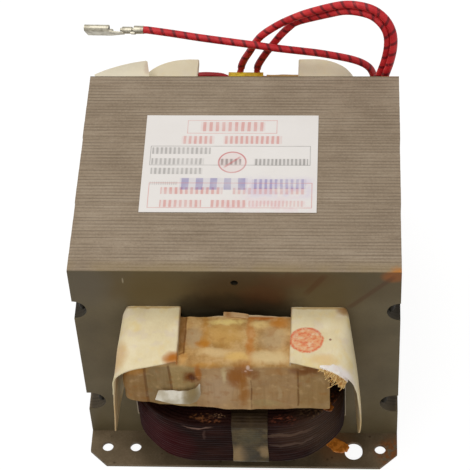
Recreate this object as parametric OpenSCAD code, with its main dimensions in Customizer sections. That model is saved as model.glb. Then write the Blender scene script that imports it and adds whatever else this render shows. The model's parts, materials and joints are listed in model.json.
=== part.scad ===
// Microwave oven transformer: a welded stack of E and I sheets with two windings one above the
// other, magnetic shunts between them, and a heater winding with two free leads.
// Millimetres, +Z up, +Y to the back. The origin is the middle of the mounting plate's underside.

/* [Core] */
// Width of the centre leg
leg_w = 34.93; // [31:0.5:40]
// Width of each outer limb
limb_w = 17.46; // [15:0.5:22]
// Width of each winding window
window_w = 17.46; // [16:0.25:21]
// Height of each winding window
window_h = 52.4; // [50:0.5:60]
// Height of the yoke above the windows
yoke_t = 17.46; // [15:0.5:22]
// Height of the closing bar below the windows
bar_t = 17.46; // [15:0.5:22]
// Depth of the stack of sheets
stack_d = 85.2; // [74:1:100]
// Number of packs of sheets that stand at slightly different heights
pack_count = 12; // [6:1:16]
// Most that one pack stands back from the others
pack_step = 0.12; // [0.04:0.02:0.2]
// Radius of the upper grooves in the side faces
groove_r = 4.4; // [3:0.2:5]
// Distance of the upper grooves below the top of the core
groove_drop = 19.8; // [17:0.2:24]
// Radius of the grooves along the joint between the E and I sheets
joint_groove_r = 4.7; // [3:0.2:5.3]
// Distance of the joint grooves' centres inside the side faces
joint_groove_in = 1.4; // [0.6:0.2:2]
// Radius of a weld bead
bead_r = 2.6; // [1.8:0.2:3]
// Diameter of the locating hole through the yoke
locating_hole_d = 2.4; // [1.6:0.2:4]
// Distance of the locating hole below the top of the core
locating_hole_drop = 5.4; // [4:0.2:9]

/* [Mounting plate] */
// Thickness of the mounting plate
plate_t = 1.2; // [0.8:0.1:3]
// Length of each flange in front of and behind the core
flange_l = 14; // [12.5:0.5:20]
// Width of the cut flange corners
corner_cut_x = 5.9; // [3:0.1:8]
// Length of the cut flange corners
corner_cut_y = 5.6; // [3:0.1:7]
// Diameter of the small fixing holes
small_hole_d = 3.8; // [3:0.1:5]
// Distance of the outer small holes from the plate's sides
outer_hole_in = 5.8; // [4.5:0.1:8]
// Distance of the second small hole from the outer one
second_hole_pitch = 9.6; // [7:0.1:12]
// Distance of the small holes from the flange's free edge
small_hole_edge = 7.4; // [6:0.1:8]
// Width of the large fixing slots
slot_w = 6; // [4:0.1:7]
// Length of the large fixing slots
slot_l = 7.2; // [7.2:0.1:9]
// Distance of the large slots from the plate's sides
slot_in = 14.8; // [13:0.1:20]
// Distance of the large slots from the flange's free edge
slot_edge = 6.6; // [6:0.1:7]

/* [Primary winding] */
// Diameter of the primary wire over its enamel
primary_wire_d = 1.25; // [1.1:0.05:1.6]
// Turns in each layer of the primary winding
primary_turns_high = 17; // [12:1:19]
// Distance that the primary winding stands out of the core
primary_overhang = 24.2; // [21:0.2:28]
// Inside corner radius of the primary winding
primary_corner_r = 5; // [3:0.5:7]
// Width of the tape round the front of the primary winding
primary_tape_w = 11.6; // [6:0.2:16]
// Distance of that tape's middle from the middle of the core
primary_tape_x = 4; // [0:0.5:8]
// Distance that the primary film stands out of the core
film_out = 5; // [1:0.5:12]

/* [Secondary winding] */
// Distance that the secondary winding stands out of the core
secondary_overhang = 20.6; // [18:0.2:22]
// Inside corner radius of the secondary winding
secondary_corner_r = 2.4; // [1.6:0.2:4]
// Clearance between the secondary winding and its slot liner
secondary_clear = 1.4; // [0.6:0.1:2]
// Space above the heater winding in the windows
headroom = 2.4; // [1:0.1:4]
// Diameter of the heater winding's wire over its sleeve
heater_wire_d = 2.2; // [1.6:0.1:2.4]
// Thickness of the paper wrapped over the winding ends
wrap_t = 0.35; // [0.2:0.05:0.5]
// Distance from the core to the rim of the front wrap
wrap_rim = 2.5; // [1:0.5:5]
// Distance from the core to the rim of the rear wrap
rear_wrap_rim = 10; // [8:0.5:14]
// Distance from the middle of the core to the right edge of the front wrap
front_wrap_x = 30; // [24:0.5:32]
// Outer corner radius of the front wrap, which is folded squarely and stands off the winding's corners
front_wrap_r = 3; // [2:0.5:8]
// Width of the yellow tape under the heater leads
lead_tape_w = 12.2; // [11:0.2:13]
// Distance of the yellow tape's middle from the middle of the core
lead_tape_x = -0.9; // [-1.6:0.1:0]

/* [Shunts and insulation] */
// Thickness of each magnetic shunt
shunt_t = 5; // [3:0.5:6]
// Depth of each magnetic shunt
shunt_d = 70; // [50:1:74]
// Gap between a shunt and the steel on each side of it
shunt_gap = 0.4; // [0.2:0.1:1]
// Clearance between the centre leg and the winding formers
former_gap = 0.6; // [0.5:0.1:0.8]
// Thickness of the winding formers
former_t = 0.6; // [0.3:0.1:0.8]
// Thickness of the paper slot liners
liner_t = 0.4; // [0.2:0.05:0.45]
// Thickness of thin film, shunt paper and tape
film_t = 0.3; // [0.15:0.05:0.4]
// Distance that the slot liners stand out in front
liner_front = 22.2; // [18:0.2:24]
// Distance that the slot liners stand out behind
liner_rear = 25.8; // [18:0.2:28]
// Distance that the left liner spreads outwards at its ends
flare_left = 3.7; // [2:0.1:6]
// Distance that the right liner spreads outwards at its ends
flare_right = 3; // [2:0.1:5]
// Distance that the left liner's limb sides lean outwards over the height of the window
lean_left = 4.9; // [0:0.1:6]
// Distance that the right liner's limb sides lean outwards over the height of the window
lean_right = 2.6; // [0:0.1:6]
// Radius of the liners' shoulders at their front ends
shoulder_r = 8.5; // [6:0.5:13]
// Radius of the liners' shoulders at their back ends
rear_shoulder_r = 15; // [6:0.5:16]
// Height of the lowest point of the liners' tongues above the closing bar
tongue_z = 3; // [1:0.5:12]
// Width of the folded flap at the left liner's back end
flap_w = 17; // [8:0.5:18]

/* [Terminals and label] */
// Diameter of the heater leads
lead_d = 2.6; // [1.8:0.1:2.6]
// Width of the tab terminals
tab_w = 6.35; // [4.8:0.05:6.35]
// Thickness of the tab terminals
tab_t = 0.8; // [0.5:0.1:1]
// Length of a tab's free blade
tab_l = 8; // [6:0.5:10]
// Distance between the two primary tabs
tab_pitch = 22; // [14:1:24]
// Height of the primary tabs' feet above the primary winding's lower face
tab_foot_z = 4; // [2:0.5:6]
// Height of a primary tab's foot
tab_foot_h = 12; // [8:0.5:14]
// Width of the tape across the primary tabs
tab_tape_w = 8; // [4:0.5:10]
// Distance that this tape runs on beyond the tabs
tab_tape_over = 4; // [2:0.5:6]
// Width of the label
label_w = 57; // [40:1:70]
// Depth of the label
label_d = 42.4; // [30:1:60]
// Distance of the label's centre from the middle of the core, sideways
label_x = -3; // [-8:0.5:8]
// Distance of the label's centre behind the middle of the core
label_y = 3; // [-10:0.5:10]
// Thickness of the label
label_t = 0.15; // [0.1:0.05:0.3]

/* [Hidden] */

$fn = 48;
EPS = 0.01;

core_w = leg_w + 2 * window_w + 2 * limb_w;
half_w = core_w / 2;
half_d = stack_d / 2;
window_in = leg_w / 2;
window_out = window_in + window_w;
joint_z = plate_t + bar_t;
window_top = joint_z + window_h;
core_top = window_top + yoke_t;
groove_z = core_top - groove_drop;

// The windings, from the closing bar up
former_x = window_in + former_gap;
coil_x = former_x + former_t;
primary_z = joint_z + film_t;
primary_h = primary_turns_high * primary_wire_d;
primary_top = primary_z + primary_h;
primary_layers = floor((window_out - liner_t - film_t - coil_x) / primary_wire_d);
primary_build = primary_layers * primary_wire_d;
primary_y = half_d + primary_overhang - primary_build;
primary_front = half_d + primary_overhang;
shunt_z = primary_top + film_t;
secondary_z = shunt_z + shunt_t + film_t;
heater_z = window_top - liner_t - headroom - heater_wire_d;
secondary_h = heater_z - secondary_z;
secondary_build = window_out - liner_t - secondary_clear - coil_x;
secondary_y = half_d + secondary_overhang - secondary_build;
secondary_front = half_d + secondary_overhang;
secondary_side = coil_x + secondary_build;
secondary_outer_r = secondary_corner_r + secondary_build;
seat = 0.05;
wrap_top = heater_z + heater_wire_d + seat + wrap_t;

// The slot liners: place and top of their leg side, and the angle on the shoulder at which the top
// panel and the limb side of a free end meet
liner_in = window_in + 0.1;
fold_z = wrap_top + 0.1;
crease = 45;

// The heater winding's outer turn is open at the back, where its two ends become the leads
heater_x = secondary_side - heater_wire_d / 2;
heater_y = secondary_front - heater_wire_d / 2;
heater_r = secondary_outer_r - heater_wire_d / 2;
heater_axis_z = heater_z + heater_wire_d / 2;
lead_a_x = -6;
lead_b_x = 6.4;

// The wire's two ends bend outwards and up, to where the leads' sleeves begin
function risen(x, steps) = [for (s = steps) [x + s[0], heater_y + s[1], heater_axis_z + s[2]]];
riser_a = risen(lead_a_x, [[-0.4, 0, 0], [0.8, 0, 0], [1.8, 0.6, 0], [2.7, 1.8, 0.4], [3.2, 2.7, 1.4],
                           [3.4, 3, 2.4]]);
riser_b = risen(lead_b_x, [[0.4, 0, 0], [-0.8, 0, 0], [-2, 0.4, 0], [-3.1, 1.4, 0.3], [-3.5, 2.5, 1.3],
                           [-3.3, 2.8, 2.3]]);

// Torn lower edge of the front wrap: places sideways, as shares of the distance to its right edge,
// and heights above the winding's lower face
torn_edge = [[-1.2, 4.6], [-0.87, 1.9], [-0.4, 0.3], [0.13, -1.3], [1, -0.2]];

// Routes of the leads, from the wire's ends to the receptacles
route_a = [
    riser_a[5], [-2.4, 65.4, 70.6], [-1.2, 65.6, 73.6], [0.8, 65.5, 77.5], [2.8, 65.1, 82],
    [5.2, 64.6, 86], [9.4, 64.2, 90.2], [14, 63.6, 94], [20.5, 62.4, 98.6], [28.4, 60.4, 103.4],
    [34, 58.6, 106.4], [39.2, 57, 107.4], [44, 55.4, 106.8], [47.8, 53.8, 104], [50, 52, 100],
    [50.4, 50.4, 95], [49.4, 49, 89], [47.8, 48, 83.5], [46.2, 47.6, 77], [45.5, 48, 71.5],
    [45.3, 49.2, 66.4], [45, 51.6, 62.4], [44.8, 55.4, 60.9], [44.6, 59.2, 62.8], [44.2, 61.9, 67.4],
    [42.9, 62.3, 71.7], [40.6, 62.1, 74.6], [37.2, 61.9, 76.7], [33, 61.6, 78.4], [25.4, 61.4, 80.5],
    [18.4, 61.3, 81.8], [9.8, 61.2, 83.3], [3, 61.2, 84.7], [-4, 61.8, 85.4], [-16, 63.6, 85.9],
    [-26.6, 65.2, 86.6], [-34.8, 66.49, 86.89], [-35.8, 66.6, 86.8]];
route_b = [
    riser_b[5], [3.3, 65.2, 70.5], [4.5, 65.5, 73], [6.2, 65.3, 76.4], [8.8, 65.1, 81],
    [11.6, 65, 85.6], [14.8, 65.1, 89.6], [18, 64.8, 92.6], [28.7, 60.4, 100.3],
    [34, 58.6, 103.3], [38.8, 57, 104.3], [43.1, 55.6, 103.8], [46.3, 54.3, 101.3], [48.1, 53.1, 97.8],
    [48.4, 52, 93.2], [47.5, 51, 87.5], [45.9, 50.1, 82.1], [43.6, 49, 75.6], [42.2, 47.6, 68.6],
    [41.8, 46.6, 60], [42, 46, 48], [42.6, 46.2, 34], [43.2, 47.6, 21], [43, 52, 10.8],
    [41.6, 57.4, 5.9], [38.6, 63, 3], [34, 68, 1.8], [27, 71.6, 1.5], [18, 73.6, 1.5],
    [8, 74.4, 1.5], [-1, 74.58, 1.6], [-2, 74.6, 1.6]];
ring_gap = 6;
lead_sides = 8;

// Where the receptacles point, and how far they are turned about their own length
terminal_a_way = [-21.3, 2.4, -1.9];
terminal_a_turn = 60;
terminal_b_way = [-21, 0.4, 0];
terminal_b_turn = 0;

steel = [0.42, 0.39, 0.34];
paper = [0.88, 0.80, 0.60];
amber = [0.76, 0.58, 0.34];
enamel = [0.30, 0.10, 0.12];
red_sleeve = [0.72, 0.10, 0.12];
tin = [0.78, 0.77, 0.74];

// Rectangle with round corners, from its half sizes
module round_rect(hx, hy, r) {
    square([2 * hx, 2 * (hy - r)], center = true);
    square([2 * (hx - r), 2 * hy], center = true);
    for (x = [-1, 1], y = [-1, 1]) translate([x * (hx - r), y * (hy - r)]) circle(r);
}

// Upright ring between two rectangles with round corners, grown outwards by steps a and b
module coil_ring(hx, hy, r, a, b, z, h) {
    translate([0, 0, z]) linear_extrude(h) difference() {
        round_rect(hx + b, hy + b, r + b);
        round_rect(hx + a, hy + a, r + a);
    }
}

// Points of a section swept round a rectangle with round corners. A section point is its distance
// outwards from the rectangle and its height.
function swept_points(section, hx, hy, r, steps) = [
    for (quarter = [0:3], k = [0:steps])
        let (a = 90 * (quarter + k / steps),
             cx = (quarter == 0 || quarter == 3 ? 1 : -1) * (hx - r),
             cy = (quarter < 2 ? 1 : -1) * (hy - r))
            for (p = section) [cx + (r + p[0]) * cos(a), cy + (r + p[0]) * sin(a), p[1]]];
// Faces of a closed ring of sections of n points each
function loop_faces(rings, n) = [
    for (r = [0:rings - 1], i = [0:n - 1])
        let (a = r * n + i, b = r * n + (i + 1) % n,
             c = ((r + 1) % rings) * n + i, d = ((r + 1) % rings) * n + (i + 1) % n)
            each [[a, c, d], [a, d, b]]];

// Points along a route, with a ring about every ring_gap, on a curve through all its points
function curve_at(a, b, c, d, t) =
    0.5 * (2 * b + (c - a) * t + (2 * a - 5 * b + 4 * c - d) * t * t
           + (3 * b - a - 3 * c + d) * t * t * t);
function along(p) = [
    for (i = [0:len(p) - 2])
        let (n = max(1, round(norm(p[i + 1] - p[i]) / ring_gap)))
            for (k = [0:n - 1])
                curve_at(p[max(i - 1, 0)], p[i], p[i + 1], p[min(i + 2, len(p) - 1)], k / n),
    p[len(p) - 1]];
function unit(v) = v / norm(v);
function ways(p) = [
    for (i = [0:len(p) - 1]) unit(p[min(i + 1, len(p) - 1)] - p[max(i - 1, 0)])];
// A sideways direction at each point, turned as little as possible from one to the next
function carried(w, i, last) =
    i == len(w) ? [] : let (v = unit(last - (last * w[i]) * w[i])) [v, each carried(w, i + 1, v)];

// Faces round a skin over rings of n points each, open at both ends
function side_faces(rings, n) = [
    for (r = [0:rings - 2], i = [0:n - 1])
        let (a = r * n + i, b = r * n + (i + 1) % n) each [[a, a + n, b + n], [a, b + n, b]]];
// The same, closed by one flat face at each end
function skin_faces(rings, n) = [
    [for (i = [0:n - 1]) i],
    each side_faces(rings, n),
    [for (i = [n - 1:-1:0]) (rings - 1) * n + i]];
// Faces of a bent sheet. Its rings run out along one side and back along the other, so each end is
// closed by a strip of four-sided faces.
function sheet_faces(rings, n) = [
    each side_faces(rings, n),
    for (i = [0:n / 2 - 2])
        let (a = i, b = n - 1 - i, end = (rings - 1) * n)
            each [[a, a + 1, b - 1, b], [end + b, end + b - 1, end + a + 1, end + a]]];

module tube(route, d, sides) {
    p = along(route);
    w = ways(p);
    u = carried(w, 0, [0.1, 0.2, 1]);
    points = [
        for (i = [0:len(p) - 1], k = [0:sides - 1])
            let (a = 360 * k / sides)
                p[i] + d / 2 * (cos(a) * u[i] + sin(a) * cross(w[i], u[i]))];
    polyhedron(points, skin_faces(len(p), sides), convexity = 10);
}

// Packs of sheets side by side, each a little lower and narrower than the next
module packs(z, h) {
    pack_t = stack_d / pack_count;
    for (i = [0:pack_count - 1]) {
        back = pack_step * ((i * 5) % 4) / 3;
        translate([back - half_w, i * pack_t - half_d, z]) cube([core_w - 2 * back, pack_t, h - back]);
    }
}

module joint_grooves() {
    for (s = [-1, 1]) translate([s * (half_w - joint_groove_in), 0, joint_z]) {
        rotate([90, 0, 0]) cylinder(r = joint_groove_r, h = stack_d + 2, center = true);
        translate([s * joint_groove_r, 0, 0])
            cube([2 * joint_groove_r, stack_d + 2, 2 * joint_groove_r], center = true);
    }
}

module e_core() {
    color(steel) difference() {
        packs(joint_z, window_h + yoke_t);
        for (s = [-1, 1]) {
            translate([s * (window_in + window_w / 2), 0, joint_z + window_h / 2 - EPS])
                cube([window_w, stack_d + 2, window_h + 2 * EPS], center = true);
            translate([s * half_w, 0, groove_z]) rotate([90, 0, 0])
                cylinder(r = groove_r, h = stack_d + 2, center = true);
        }
        joint_grooves();
        translate([0, 0, core_top - locating_hole_drop]) rotate([90, 0, 0])
            cylinder(d = locating_hole_d, h = stack_d + 2, center = true);
    }
}

module i_core() {
    color(steel) difference() {
        translate([0, 0, 2 * plate_t + bar_t]) mirror([0, 0, 1]) packs(plate_t, bar_t);
        joint_grooves();
    }
}

// Bead of weld metal lying in the bottom of a groove
module bead(s, groove_x, z, r) {
    translate([s * groove_x, 0, z]) rotate([90, 0, 0]) linear_extrude(stack_d - 2, center = true)
        intersection() {
            circle(r - EPS);
            translate([-s * r, 0]) circle(bead_r);
        }
}

module joint_weld(s) { color("dimgray") bead(s, half_w - joint_groove_in, joint_z, joint_groove_r); }
module stack_weld(s) { color("dimgray") bead(s, half_w, groove_z, groove_r); }

module mounting_plate() {
    plate_y = half_d + flange_l;
    cut_x = half_w - corner_cut_x;
    cut_y = plate_y - corner_cut_y;
    color(steel) linear_extrude(plate_t) difference() {
        polygon([[cut_x, plate_y], [half_w, cut_y], [half_w, -cut_y], [cut_x, -plate_y],
                 [-cut_x, -plate_y], [-half_w, -cut_y], [-half_w, cut_y], [-cut_x, plate_y]]);
        for (turn = [0, 180]) rotate(turn) {
            for (x = [-half_w + outer_hole_in, -half_w + outer_hole_in + second_hole_pitch,
                      half_w - outer_hole_in])
                translate([x, -plate_y + small_hole_edge]) circle(d = small_hole_d);
            translate([half_w - slot_in, -plate_y + slot_edge]) {
                square([slot_w, slot_l - slot_w], center = true);
                for (y = [-1, 1]) translate([0, y * (slot_l - slot_w) / 2]) circle(d = slot_w);
            }
        }
    }
}

module primary_former() {
    color(paper) coil_ring(former_x, primary_y - former_t, primary_corner_r - former_t, 0, former_t,
                           primary_z, primary_h);
}

// Section of the primary winding: the wires of its outer layer and of its top layer stand out
function primary_section() =
    let (d = primary_wire_d, dip = 0.22 * d, w = primary_build, h = primary_h)
        [[seat, 0],
         each [for (i = [0:primary_turns_high - 1])
             let (end = i == primary_turns_high - 1 ? 0.65 : 0.7)
                 each [[w - dip, i * d], [w, (i + 0.3) * d], [w, (i + end) * d]]],
         each [for (i = [0:primary_layers - 1])
             each [[w - (i + (i == 0 ? 0.35 : 0.3)) * d, h], [w - (i + 0.7) * d, h],
                   [max(seat, w - (i + 1) * d), h - dip]]]];

module primary_winding() {
    section = primary_section();
    steps = 6;
    color(enamel) translate([0, 0, primary_z])
        polyhedron(swept_points(section, coil_x, primary_y, primary_corner_r, steps),
                   loop_faces(4 * (steps + 1), len(section)), convexity = 10);
}

module primary_film(s) {
    color([0.75, 0.68, 0.55, 0.8]) mirror([s < 0 ? 1 : 0, 0, 0])
        rotate([90, 0, 0]) linear_extrude(2 * (half_d + film_out), center = true)
            translate([window_in + film_t, joint_z]) {
                square([window_w - film_t, film_t]);
                translate([window_w - 2 * film_t, 0]) square([film_t, primary_h]);
            }
}

// Loop of tape round a winding's end, thickness film_t, seen from the side
module tape_loop(y_in, y_out, z_low, z_high) {
    difference() {
        translate([y_in - film_t, z_low - film_t])
            square([y_out - y_in + 2 * film_t, z_high - z_low + 2 * film_t]);
        translate([y_in, z_low]) square([y_out - y_in, z_high - z_low]);
    }
}

module primary_tape() {
    color([0.52, 0.46, 0.38]) translate([primary_tape_x - primary_tape_w / 2, 0, 0])
        rotate([90, 0, -90]) mirror([0, 0, 1]) linear_extrude(primary_tape_w)
            tape_loop(primary_y - former_t, primary_front, primary_z, primary_top);
}

module shunt(s) {
    w = window_w - 2 * shunt_gap;
    color("slategray") translate([s * (window_in + window_w / 2), 0, shunt_z + shunt_t / 2])
        cube([w, shunt_d, shunt_t], center = true);
}

// Paper folded over the shunt and its leg side
module shunt_paper(s) {
    x = window_in + shunt_gap;
    color(paper) mirror([s < 0 ? 1 : 0, 0, 0])
        rotate([90, 0, 0]) linear_extrude(shunt_d + 6, center = true) {
            translate([x - film_t, shunt_z - film_t])
                square([window_w - 2 * shunt_gap + film_t, film_t]);
            translate([x - film_t, shunt_z + shunt_t])
                square([window_w - 2 * shunt_gap + film_t, film_t]);
            translate([x - film_t, shunt_z - film_t]) square([film_t, shunt_t + 2 * film_t]);
        }
}

module secondary_former() {
    color(paper) coil_ring(former_x, secondary_y - former_t, secondary_corner_r - former_t, 0,
                           former_t, secondary_z, secondary_h);
}

module secondary_winding() {
    color([0.45, 0.27, 0.15]) coil_ring(coil_x, secondary_y, secondary_corner_r, 0, secondary_build,
                                        secondary_z, secondary_h);
}

// One turn of round wire, closed, or open at the back between two places
module heater_turn(inset) {
    hx = heater_x - inset;
    hy = heater_y - inset;
    r = heater_r - inset;
    translate([0, 0, heater_axis_z]) {
        for (s = [-1, 1]) {
            translate([s * hx, 0, 0]) rotate([90, 0, 0])
                cylinder(d = heater_wire_d, h = 2 * (hy - r + EPS), center = true);
            translate([0, s * hy, 0]) rotate([0, 90, 0])
                cylinder(d = heater_wire_d, h = 2 * (hx - r + EPS), center = true);
            for (t = [-1, 1]) translate([s * (hx - r), t * (hy - r), 0])
                rotate([0, 0, s > 0 ? (t > 0 ? 0 : 270) : (t > 0 ? 90 : 180)])
                    rotate_extrude(angle = 90) translate([r, 0]) circle(d = heater_wire_d);
        }
    }
}

module heater_winding() {
    color(red_sleeve) {
        difference() {
            union() {
                heater_turn(0);
                heater_turn(heater_wire_d + 0.2);
            }
            translate([lead_a_x, heater_y - heater_wire_d / 2 - 0.1, heater_z - 1])
                cube([lead_b_x - lead_a_x, heater_wire_d + 1, heater_wire_d + 2]);
        }
        for (riser = [riser_a, riser_b]) tube(riser, heater_wire_d, lead_sides);
    }
}

// Paper folded over a winding's end: a top panel and an outer panel
module wrap_shell(corner_r) {
    low = secondary_z - 4;
    reach_x = secondary_side + seat + wrap_t;
    reach_y = secondary_front + seat + wrap_t;
    difference() {
        translate([0, 0, low]) linear_extrude(wrap_top - low) round_rect(reach_x, reach_y, corner_r);
        translate([0, 0, low - 1]) linear_extrude(wrap_top - wrap_t - low + 1)
            round_rect(reach_x - wrap_t, reach_y - wrap_t, corner_r - wrap_t);
    }
}

module secondary_wrap_front() {
    top = wrap_top + 1;
    color(amber) intersection() {
        wrap_shell(front_wrap_r);
        translate([0, -half_d - wrap_rim, 0]) rotate([90, 0, 0]) linear_extrude(secondary_overhang + 2)
            polygon([for (p = torn_edge) [p[0] * front_wrap_x, secondary_z + p[1]],
                     [front_wrap_x, top], [torn_edge[0][0] * front_wrap_x, top]]);
    }
}

// The rear wrap begins where a lead leaves the heater winding
module secondary_wrap_rear() {
    color(amber) intersection() {
        wrap_shell(secondary_outer_r + seat + wrap_t);
        translate([lead_b_x, half_d + rear_wrap_rim, secondary_z])
            cube([secondary_side, secondary_overhang, wrap_top]);
    }
}

// The slot liners. Each is a sheet that lines its window and spreads where it stands out of the
// core, with a round shoulder between its top and its limb side. The panels meet at creases.
function arc_points(cx, cz, r, from, to, n) = [
    for (i = [0:n]) let (a = from + (to - from) * i / n) [cx + r * cos(a), cz + r * sin(a)]];

// Stations of a free end: distance from the core, spread, shoulder radius, bottom of the limb side
function liner_stations(reach, flare, end_r) =
    let (tip = 14.4, back = 7.4, corner = 2.5)
        [[0, 0, 1.6, secondary_z + 0.1],
         [corner, flare * corner / reach, 2.4, primary_top + 0.5],
         [back, flare * back / reach, 0.4 * end_r + 0.8, joint_z + tongue_z + 6.3],
         [tip, flare * tip / reach, 0.7 * end_r + 0.6, joint_z + tongue_z],
         [reach, flare, end_r, window_top - end_r - 6.5]];
// How far the bottom of the limb side leans out at a station. The lean begins at the core.
function lean_at(s, lean) =
    let (full = 7.4) lean * min(1, s[0] / full) * (window_top - s[2] - s[3]) / window_h;

// Sections of the top panel and of the limb side: the outer face, then the inner face back again
function top_section(out_x, r) =
    concat([[liner_in, fold_z], [liner_in, window_top]],
           arc_points(out_x - r, window_top - r, r, 90, crease, 4),
           arc_points(out_x - r, window_top - r, r - liner_t, crease, 90, 4),
           [[liner_in + liner_t, window_top - liner_t], [liner_in + liner_t, fold_z]]);
function side_section(out_x, r, low_x, side_z) =
    concat(arc_points(out_x - r, window_top - r, r, crease, 0, 4),
           [[low_x, side_z], [low_x - liner_t, side_z]],
           arc_points(out_x - r, window_top - r, r - liner_t, 0, crease, 4));

// One panel of a liner's free end. way is -1 at the front and 1 at the back.
module liner_panel(way, top, reach, flare, lean) {
    stations = liner_stations(reach, flare, way < 0 ? shoulder_r : rear_shoulder_r);
    last = len(stations) - 1;
    rings = [
        for (i = [0:last])
            let (s = stations[way < 0 ? last - i : i],
                 out_x = window_out + s[1],
                 low_x = out_x + lean_at(s, lean),
                 section = top ? top_section(out_x, s[2]) : side_section(out_x, s[2], low_x, s[3]))
                [for (q = section) [q[0], way * (half_d + s[0]), q[1]]]];
    color(paper) polyhedron([for (r = rings) each r], sheet_faces(len(rings), len(rings[0])),
                            convexity = 6);
}

// The stretch of a liner inside its window
module slot_liner(s) {
    r = 1.6;
    inside = secondary_z + 0.1;
    color(paper) mirror([s < 0 ? 1 : 0, 0, 0]) rotate([90, 0, 0])
        linear_extrude(stack_d, center = true) difference() {
            union() {
                translate([liner_in, inside]) square([window_out - r - liner_in, window_top - inside]);
                translate([liner_in, inside]) square([window_out - liner_in, window_top - r - inside]);
                translate([window_out - r, window_top - r]) circle(r);
            }
            translate([liner_in + liner_t, inside - 1])
                square([window_out - r - liner_in - liner_t, window_top - liner_t - inside + 1]);
            translate([liner_in + liner_t, inside - 1])
                square([window_out - liner_in - 2 * liner_t, window_top - r - inside + 1]);
            translate([window_out - r, window_top - r]) circle(r - liner_t);
        }
}

module liner_panel_left(way, top) {
    reach = way < 0 ? liner_front : liner_rear;
    mirror([1, 0, 0]) liner_panel(way, top, reach, flare_left, lean_left);
}

module liner_panel_right(way, top) {
    reach = way < 0 ? liner_front : liner_rear;
    liner_panel(way, top, reach, flare_right, lean_right);
}

// Flap at the left liner's back end: its limb side, folded outwards over the shoulder
module liner_flap() {
    start_y = half_d + 0.6;
    end_y = half_d + liner_rear - 2.4;
    hinge_x = -window_out + 3;
    inner_x = -window_out - 0.7;
    lift = 0.75;
    drop = 0.28;
    rise = 0.06;
    outline = [[hinge_x, start_y], [inner_x, end_y], [inner_x - flap_w, end_y - 1.5],
               [-window_out - 5, start_y]];
    flap = [for (q = outline)
        [q[0], q[1], window_top + lift + drop * (q[0] - hinge_x) + rise * (q[1] - start_y)]];
    color(paper) polyhedron([for (p = flap) p, for (p = flap) p + [0, 0, liner_t]], skin_faces(2, 4));
}

// The free end of the front tape, bent back on itself
module loose_tape_end() {
    tape_w = 5.6;
    tail_l = 9;
    tail_t = 0.25;
    bend_r = 2;
    bend_x = 17.1 - secondary_side;
    y = -secondary_front - seat - wrap_t - 0.1;
    color("gainsboro") translate([bend_x, y, secondary_z + 4.4]) linear_extrude(tape_w) {
        translate([-tail_l, -bend_r - 0.6]) square([tail_l, tail_t]);
        translate([0, -0.6]) difference() {
            circle(bend_r);
            circle(bend_r - tail_t);
            translate([-2 * bend_r, -bend_r]) square([2 * bend_r, 2 * bend_r]);
            translate([-bend_r, 0.4]) square([2 * bend_r, bend_r]);
        }
    }
}

// Tape over the heater winding's open turn, cut away where the two leads rise out of it
module lead_tape() {
    lead_cut = 1.6;
    below_wire = 1.2;
    lap = 3;
    color("gold") translate([lead_tape_x - lead_tape_w / 2, 0, 0])
        rotate([90, 0, 90]) linear_extrude(lead_tape_w) difference() {
            tape_loop(secondary_y - former_t - seat, secondary_front + seat, secondary_z,
                      heater_z + heater_wire_d + seat);
            translate([secondary_front - lead_cut, heater_z - below_wire])
                square([lead_cut + 1, heater_wire_d + below_wire + 1]);
            translate([0, secondary_z - 1]) square([secondary_front - lap, 1 + EPS]);
        }
}

module heater_lead(route) { color(red_sleeve) tube(route, lead_d, lead_sides); }

// Receptacle for a 6.3 mm tab, along +X from the end of its lead
module receptacle() {
    sleeve_l = 3.4;
    crimp_x = 4.2;
    crimp_l = 3.4;
    barrel_x = 11.8;
    barrel_l = 8.8;
    half = 2.55;
    curl_r = 1.2;
    metal = 0.4;
    floor_z = -1.5;
    difference() {
        rotate([0, 90, 0]) cylinder(d = lead_d + 0.3, h = sleeve_l);
        translate([-1, -0.15, 1.1]) cube([sleeve_l + 2, 0.3, 1]);
    }
    rotate([0, 90, 0]) cylinder(d = 1.3, h = crimp_x + crimp_l + 0.8);
    difference() {
        translate([crimp_x, 0, -0.2]) rotate([0, 90, 0]) cylinder(d = 2.5, h = crimp_l);
        translate([crimp_x - 1, -0.12, 0.7]) cube([crimp_l + 2, 0.24, 1]);
    }
    translate([0, 0, floor_z]) {
        translate([sleeve_l - 0.4, -0.9, 0]) cube([crimp_x - sleeve_l + 0.8, 1.8, 0.5]);
        linear_extrude(metal) polygon([[crimp_x + crimp_l - 0.6, -1], [crimp_x + crimp_l - 0.6, 1],
                                       [barrel_x, half], [barrel_x, -half]]);
        translate([barrel_x, 0, 0]) rotate([90, 0, 90]) linear_extrude(barrel_l) {
            translate([-half, 0]) square([2 * half, metal]);
            for (s = [-1, 1]) translate([s * half, curl_r]) difference() {
                circle(curl_r, $fn = 24);
                circle(curl_r - metal, $fn = 24);
                translate([s > 0 ? -curl_r : 0, metal - curl_r]) square([curl_r, 0.7]);
            }
        }
    }
}

module placed_receptacle(at, way, turn) {
    color(tin) translate(at)
        rotate([0, atan2(-way[2], norm([way[0], way[1]])), atan2(way[1], way[0])])
            rotate([turn, 0, 0]) receptacle();
}

// Tab terminal: a foot against the winding and a blade that stands back from it
module tab(x, y, z_foot, foot_h) {
    color("goldenrod") translate([x, y, z_foot]) {
        translate([-tab_w / 2, 0, 0]) cube([tab_w, tab_t, foot_h]);
        translate([0, 0, foot_h - tab_t]) linear_extrude(tab_t) difference() {
            polygon([[-tab_w / 2, 0], [tab_w / 2, 0], [tab_w / 2, tab_t + tab_l - 1],
                     [tab_w / 2 - 1, tab_t + tab_l], [1 - tab_w / 2, tab_t + tab_l],
                     [-tab_w / 2, tab_t + tab_l - 1]]);
            translate([0, tab_t + tab_l * 0.55]) circle(d = 1.8);
        }
    }
}

module primary_tab(s) { tab(s * tab_pitch / 2, primary_front, primary_z + tab_foot_z, tab_foot_h); }

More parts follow.
